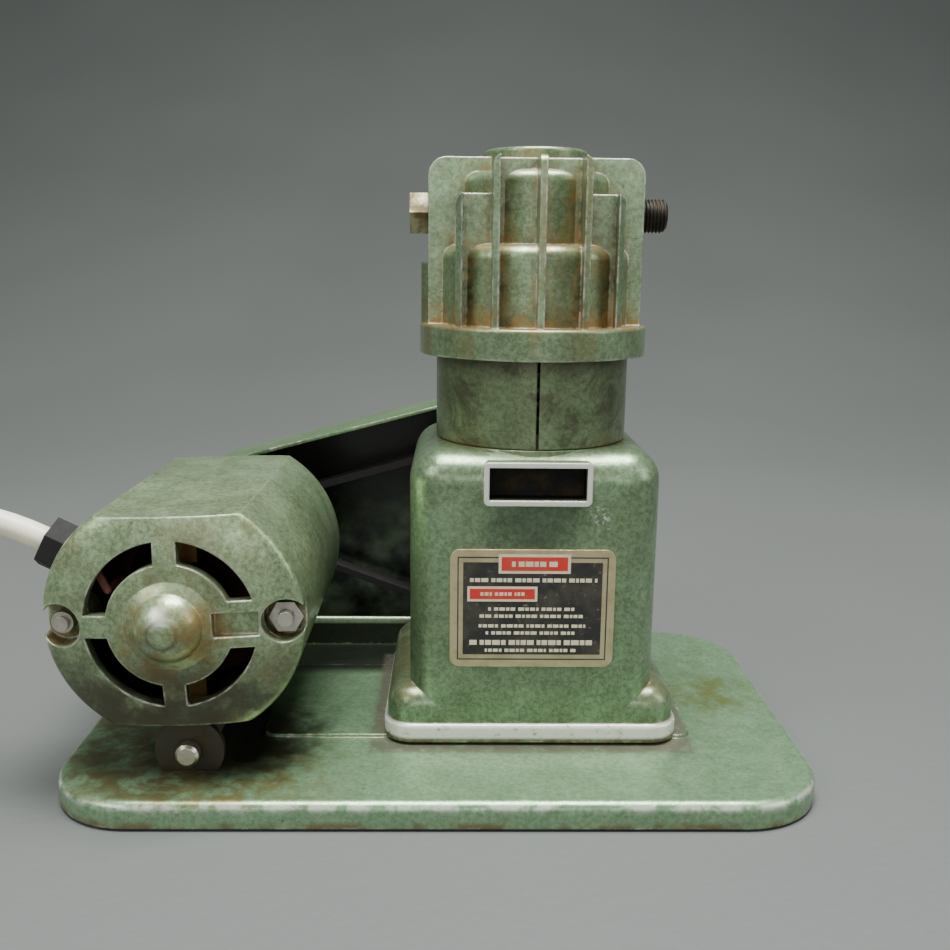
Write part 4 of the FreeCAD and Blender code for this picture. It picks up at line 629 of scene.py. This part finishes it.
MATERIALS = {
    "base_paint": hammered("base_paint", srgb(147, 179, 142), srgb(105, 140, 101),
                           grime=0.5, wear=0.5, oil=0.1, extra=base_extra),
    "case_paint": hammered("case_paint", srgb(142, 168, 131), srgb(92, 116, 83),
                           grime=0.6, wear=0.4, oil=0.25, extra=case_extra),
    "head_paint": hammered("head_paint", srgb(154, 178, 140), srgb(100, 124, 88),
                           grime=0.9, wear=0.9, oil=0.28, extra=head_extra),
    "band_paint": hammered("band_paint", srgb(136, 154, 116), srgb(92, 110, 76),
                           grime=0.6, wear=0.2, oil=0.35, extra=band_extra),
    "guard_paint": hammered("guard_paint", srgb(130, 162, 118), srgb(92, 122, 82),
                            grime=0.5, wear=0.6, oil=0.2, extra=guard_extra),
    "motor_paint": hammered("motor_paint", srgb(160, 184, 144), srgb(108, 132, 94),
                            grime=0.5, wear=0.4, oil=0.3, extra=motor_extra),
    "motor_face_paint": hammered("motor_face_paint", srgb(172, 194, 152), srgb(104, 126, 88),
                                 grime=0.8, wear=0.9, oil=0.3, extra=face_extra),
    "dark_steel": metal("dark_steel", srgb(74, 72, 68), 0.42, 0.45),
    "bright_steel": metal("bright_steel", srgb(206, 202, 190), 0.26, 0.35),
    "nickel_brass": metal("nickel_brass", srgb(150, 143, 120), 0.34, 0.7),
    "bronze": metal("bronze", srgb(176, 136, 82), 0.4, 0.3),
    "cast_iron": metal("cast_iron", srgb(96, 94, 88), 0.5, 0.4, 0.8),
    "cast_aluminium": metal("cast_aluminium", srgb(180, 180, 178), 0.45, 0.2, 0.85),
    # Laminations and copper are painted dark as the shade inside the motor.
    "laminations": stacked("laminations", srgb(58, 52, 46)),
    "copper": wound("copper", srgb(74, 44, 28)),
    "carbon": moulded("carbon", srgb(36, 36, 36), 0.5),
    "gasket": moulded("gasket", srgb(120, 98, 72), 0.8),
    # The felt is painted near-black as the shade inside the window.
    "felt": moulded("felt", srgb(9, 9, 8), 0.98, 900, 0.5),
    "black_rubber": moulded("black_rubber", srgb(30, 26, 23), 0.75),
    "black_moulding": moulded("black_moulding", srgb(20, 20, 19), 0.8, 500, 0.3),
    "cream_rubber": moulded("cream_rubber", srgb(240, 233, 208), 0.40, 420, 0.25),
    "lead_sleeve": moulded("lead_sleeve", srgb(206, 138, 122), 0.5),
    "nameplate_print": metal("nameplate_print", srgb(196, 184, 146), 0.35, 0.3, 0.7),
}


def dress_nodes():
    """Every CAD node takes the material of its slot in the record. The screen is painted
    near-black as the shade inside the window.
    """
    screen_shade = metal("shaded_screen", srgb(14, 14, 13), 0.8, 0.4, 0.3)
    for entry in frame["record"]["subparts"]:
        node = NODES[entry["node"]]
        finish = screen_shade if entry["node"] == "intake_screen" else MATERIALS[entry["material_slot"]]
        node.data.materials.clear()
        node.data.materials.append(finish)


dress_nodes()


# --- The threaded outlet ---

def threaded_nipple():
    """The outlet's male thread, cut as one continuous V, with its neck, bore and chamfered end."""
    middle = (NIPPLE_LOW + NIPPLE_HIGH) / 2
    crest = (NIPPLE_HIGH.z - NIPPLE_LOW.z) / 2
    pitch, depth, bore, neck = 1.05 * MM, 0.62 * MM, 2.5 * MM, 4.4 * MM
    root, end_r, chamfer = crest - depth, crest - 1.2 * MM, 0.5 * MM
    sides, rings_per_pitch = 48, 8
    outlet = next(mount for mount in frame["record"]["mounts"] if mount["name"] == "outlet")
    thread_start = outlet["pos_m"][0] - outlet["dims"]["length_mm"] / 2 * MM
    thread_end = NIPPLE_HIGH.x - chamfer
    spacing = pitch / rings_per_pitch
    rings = [(NIPPLE_LOW.x, bore, False), (NIPPLE_LOW.x, neck, False),
             (thread_start, neck, False)]
    steps = int((thread_end - thread_start) / spacing - 0.5)
    rings += [(thread_start + i * spacing, crest, True) for i in range(1, steps)]
    rings += [(thread_end, root, False), (NIPPLE_HIGH.x, end_r, False),
              (NIPPLE_HIGH.x, bore, False)]
    points = []
    for x, radius, cut in rings:
        for k in range(sides):
            share = k / sides
            angle = 2 * math.pi * share
            turn = ((x - thread_start) / pitch - share) % 1
            local = radius - depth * abs(2 * turn - 1) if cut else radius
            points.append((x, middle.y + local * math.cos(angle),
                           middle.z + local * math.sin(angle)))
    item = add_mesh("threaded_outlet", points, wrapped_faces(len(rings), sides), "root",
                    MATERIALS["dark_steel"])
    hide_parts("outlet_nipple")


threaded_nipple()


# --- The nameplate's printed layout, with plain bars in place of any lettering ---

def printed(name, patches, lift, material):
    """Thin printed patches in one mesh, in millimetres from the plate's top left corner."""
    sides = [(0, 1, 3, 2), (4, 6, 7, 5), (0, 4, 5, 1), (2, 3, 7, 6), (0, 2, 6, 4), (1, 5, 7, 3)]
    points, faces = [], []
    for left, right, top, low in patches:
        first = len(points)
        points += [(x, y, z)
                   for x in (PLATE_LOW.x + left * MM, PLATE_LOW.x + right * MM)
                   for y in (PLATE_LOW.y - lift * MM, PLATE_LOW.y + 0.1 * MM)
                   for z in (PLATE_HIGH.z - low * MM, PLATE_HIGH.z - top * MM)]
        faces += [tuple(first + corner for corner in side) for side in sides]
    add_mesh(name, points, faces, "root", material, smooth=False)


def printed_line(name, inset, thick, lift, material):
    """A thin printed line round the plate, in millimetres in from its edges."""
    y0, y1 = PLATE_LOW.y - lift * MM, PLATE_LOW.y + 0.1 * MM
    points = []
    for corner_x, corner_z, turn_x, turn_z in ((PLATE_LOW.x, PLATE_LOW.z, 1, 1),
                                               (PLATE_HIGH.x, PLATE_LOW.z, -1, 1),
                                               (PLATE_HIGH.x, PLATE_HIGH.z, -1, -1),
                                               (PLATE_LOW.x, PLATE_HIGH.z, 1, -1)):
        for y, depth in ((y0, inset), (y1, inset), (y1, inset + thick), (y0, inset + thick)):
            points.append((corner_x + turn_x * depth * MM, y, corner_z + turn_z * depth * MM))
    add_mesh(name, points, wrapped_faces(4, 4), "root", material, smooth=False)


def ink(name, colour):
    """Enamel print, a little worn and speckled."""
    g = Graph(name)
    wear = g.step(g.noise(900, 4, 0.7), 0.60, 0.72)
    tint = g.mix(g.times(wear, 0.45), colour, srgb(150, 142, 118))
    haze = g.step(g.noise(160, 4), 0.4, 0.7)
    tint = g.mix(g.times(haze, 0.18), tint, srgb(120, 112, 92))
    return g.finish(tint, rough=0.38)


def bars_in_rows():
    """Short bars of uneven length in rows. A row is its top, start, end, height and bar length."""
    rows = [(3.4, 17.3, 30.2, 1.5, 1.9), (8.3, 5.6, 41.4, 1.1, 1.5), (12.4, 8.6, 21.0, 1.0, 0.9),
            (16.9, 10.8, 35.6, 0.9, 1.3), (19.0, 8.4, 37.6, 0.9, 1.3),
            (21.9, 8.2, 38.4, 0.9, 1.3), (24.0, 10.2, 35.4, 0.9, 1.3),
            (26.6, 5.6, 41.2, 1.4, 1.7), (29.2, 10.0, 36.0, 0.9, 1.2)]
    narrow_gap, wide_gap, shortest = 0.32, 0.85, 0.4
    bars = []
    for top, start, end, tall, long in rows:
        left = start
        while left < end - shortest:
            uneven = 0.55 + 0.75 * ((len(bars) * 37) % 11) / 10
            right = min(end, left + long * uneven)
            gap = narrow_gap if len(bars) % 4 else wide_gap
            bars.append((left, right, top, top + tall))
            left = right + gap
    return bars


def nameplate_print():
    """A dark frame line, a black field, two red boxes with pale edges, and rows of short bars."""
    black = ink("plate_black", srgb(34, 33, 32))
    red = ink("plate_red", srgb(196, 40, 34))
    cream = ink("plate_cream", srgb(214, 204, 176))
    wide = (PLATE_HIGH.x - PLATE_LOW.x) / MM
    high = (PLATE_HIGH.z - PLATE_LOW.z) / MM
    margin = 3.7
    printed_line("plate_frame_line", 2.1, 0.35, 0.04, black)
    printed("plate_field", [(margin, wide - margin, margin, high - margin)], 0.05, black)
    printed("plate_box_edges", [(13.6, 33.8, 1.4, 6.9), (4.9, 24.6, 10.7, 15.1)], 0.08, cream)
    printed("plate_boxes", [(14.4, 33.0, 2.1, 6.1), (5.6, 23.9, 11.4, 14.4)], 0.11, red)
    printed("plate_bars", bars_in_rows(), 0.14, cream)


nameplate_print()


# --- Mains cord, its tie and its plug ---

def mains_lead():
    """The cord's tube along its route."""
    data = as_mesh(spline_curve("mains_lead_line", cord_points(), CORD_D / 2))
    data.name = "mains_lead"
    item = bpy.data.objects.new("mains_lead", data)
    bpy.context.scene.collection.objects.link(item)
    for face in data.polygons:
        face.use_smooth = True
    data.materials.clear()
    data.materials.append(MATERIALS["cream_rubber"])
    return item


def coil_tie():
    """A soft strap round the coil's turns."""
    low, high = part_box("cord_tie")
    coil_low, coil_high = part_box("cord_coil")
    middle = (low + high) / 2
    angle = math.atan2(middle.y - COIL_MIDDLE.y, middle.x - COIL_MIDDLE.x)
    out = Vector((math.cos(angle), math.sin(angle), 0))
    along = Vector((-math.sin(angle), math.cos(angle), 0))
    up = Vector((0, 0, 1))
    half_strap, thick, corner = 3.6 * MM, 0.9 * MM, 4.5 * MM
    outer_r = (coil_high.x - coil_low.x) / 2 + 0.6 * MM
    inner_r = 22.4 * MM
    tall = coil_high.z + thick
    centre = COIL_MIDDLE + out * (outer_r + inner_r) / 2 + up * tall / 2
    half = (outer_r - inner_r) / 2
    points = []
    for shift, thin in ((-half_strap, 0.0), (half_strap, 0.0), (half_strap, thick),
                        (-half_strap, thick)):
        points += rounded_section(centre + along * shift, out, up, half - thin,
                                  tall / 2 - thin, corner - thin)
    item = add_mesh("coil_strap", points, wrapped_faces(4, len(points) // 4), "root",
                    MATERIALS["black_rubber"])
    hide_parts("cord_tie")
    return item


def plug():
    """A moulded two-pin plug with a ribbed strain relief."""
    across = Vector((-PLUG_WAY.y, PLUG_WAY.x, 0))
    up = Vector((0, 0, 1))
    cord_r = CORD_D / 2 / MM
    ribs, rib_pitch, rib_wide, rib_deep = 5, 2.5, 1.5, 0.9
    # Each entry is a place along the plug, its half width and its half height, in millimetres.
    profile = [(0.0, cord_r + 0.3, cord_r + 0.3)]
    for i in range(ribs):
        start = 0.6 + rib_pitch * i
        crest = cord_r + 1.0 + 0.35 * i
        groove = crest - rib_deep
        profile += [(start, crest, crest), (start + rib_wide, crest, crest),
                    (start + rib_wide + 0.1, groove, groove),
                    (start + rib_pitch - 0.1, groove, groove)]
    profile += [(13.4, 6.2, 5.4), (15.0, 8.6, 6.0), (19.0, 11.4, 6.5), (25.0, 13.8, 6.75),
                (31.0, 14.9, 6.75), (38.0, 14.9, 6.75), (40.6, 14.6, 6.6), (42.0, 13.6, 5.8)]
    sections = []
    for along, half_wide, half_high in profile:
        corner = min(half_wide, half_high) * 0.92
        sections.append(rounded_section(PLUG_END + PLUG_WAY * along * MM, across, up,
                                        half_wide * MM, half_high * MM, corner * MM, 6))
    item = loft("mains_plug", sections, "root", MATERIALS["cream_rubber"])
    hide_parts("plug_body")
    return item


def lay_cord():
    """The cord from the motor down to just above the floor, with its coil's strap and its plug."""
    lead = mains_lead()
    strap = coil_tie()
    end = plug()
    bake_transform(lead)
    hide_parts("mains_cord", "cord_coil")


lay_cord()


# --- Studio: one pale sweep of floor and backdrop, and broad soft lights ---

def sweep():
    """A floor that curves up into a backdrop."""
    g = Graph("studio_grey")
    grain = g.noise(420, 4, 0.6)
    cells = g.make("ShaderNodeTexVoronoi", 0, {"Vector": g.place, "Scale": 380})
    tint = g.mix(g.step(g.noise(3.0, 2), 0.3, 0.7), srgb(88, 92, 89), srgb(92, 96, 93))
    grey = g.finish(tint, 0.62, 0.0, [(cells, 0.25, 0.3 * MM), (grain, 0.12, 0.2 * MM)])
    half, back, bend, top, front = 2.6, 0.35, 1.3, 2.6, -1.6
    steps = 24
    line = [(front, 0.0), (back, 0.0)]
    for i in range(1, steps + 1):
        angle = math.pi / 2 * i / steps
        line.append((back + bend * math.sin(angle), bend * (1 - math.cos(angle))))
    line.append((back + bend, top))
    points = [(x, y, z) for y, z in line for x in (-half, half)]
    faces = [(2 * i, 2 * i + 1, 2 * i + 3, 2 * i + 2) for i in range(len(line) - 1)]
    item = add_mesh("studio_sweep", points, faces, None, grey)
    for edge in item.data.edges:
        edge.use_edge_sharp = False


def soft_light(name, place, target, wide, high, power):
    """A broad light that faces a point."""
    data = bpy.data.lights.new(name, "AREA")
    data.shape = "RECTANGLE"
    data.size = wide
    data.size_y = high
    data.energy = power
    item = bpy.data.objects.new(name, data)
    bpy.context.scene.collection.objects.link(item)
    item.location = place
    item.rotation_mode = "QUATERNION"
    item.rotation_quaternion = (Vector(target) - Vector(place)).to_track_quat("-Z", "Y")
    return item


def studio():
    """A broad light overhead, a little to the front, and three weak fills."""
    sweep()
    foot, middle = (0, 0, 0.05), (0, 0, 0.08)
    soft_light("key_light", (0.05, -0.10, 1.15), foot, 0.75, 0.45, 38)
    soft_light("front_left_light", (-0.85, -0.75, 0.75), middle, 0.6, 0.6, 7.0)
    soft_light("right_light", (0.95, -0.45, 0.60), middle, 0.5, 0.7, 4.0)
    soft_light("front_light", (0.0, -1.25, 0.35), middle, 0.9, 0.4, 2.3)
    world = bpy.data.worlds.new("studio_world")
    world.use_nodes = True
    background = world.node_tree.nodes["Background"]
    background.inputs["Color"].default_value = (0.78, 0.80, 0.80, 1)
    background.inputs["Strength"].default_value = 0.25
    bpy.context.scene.world = world


studio()
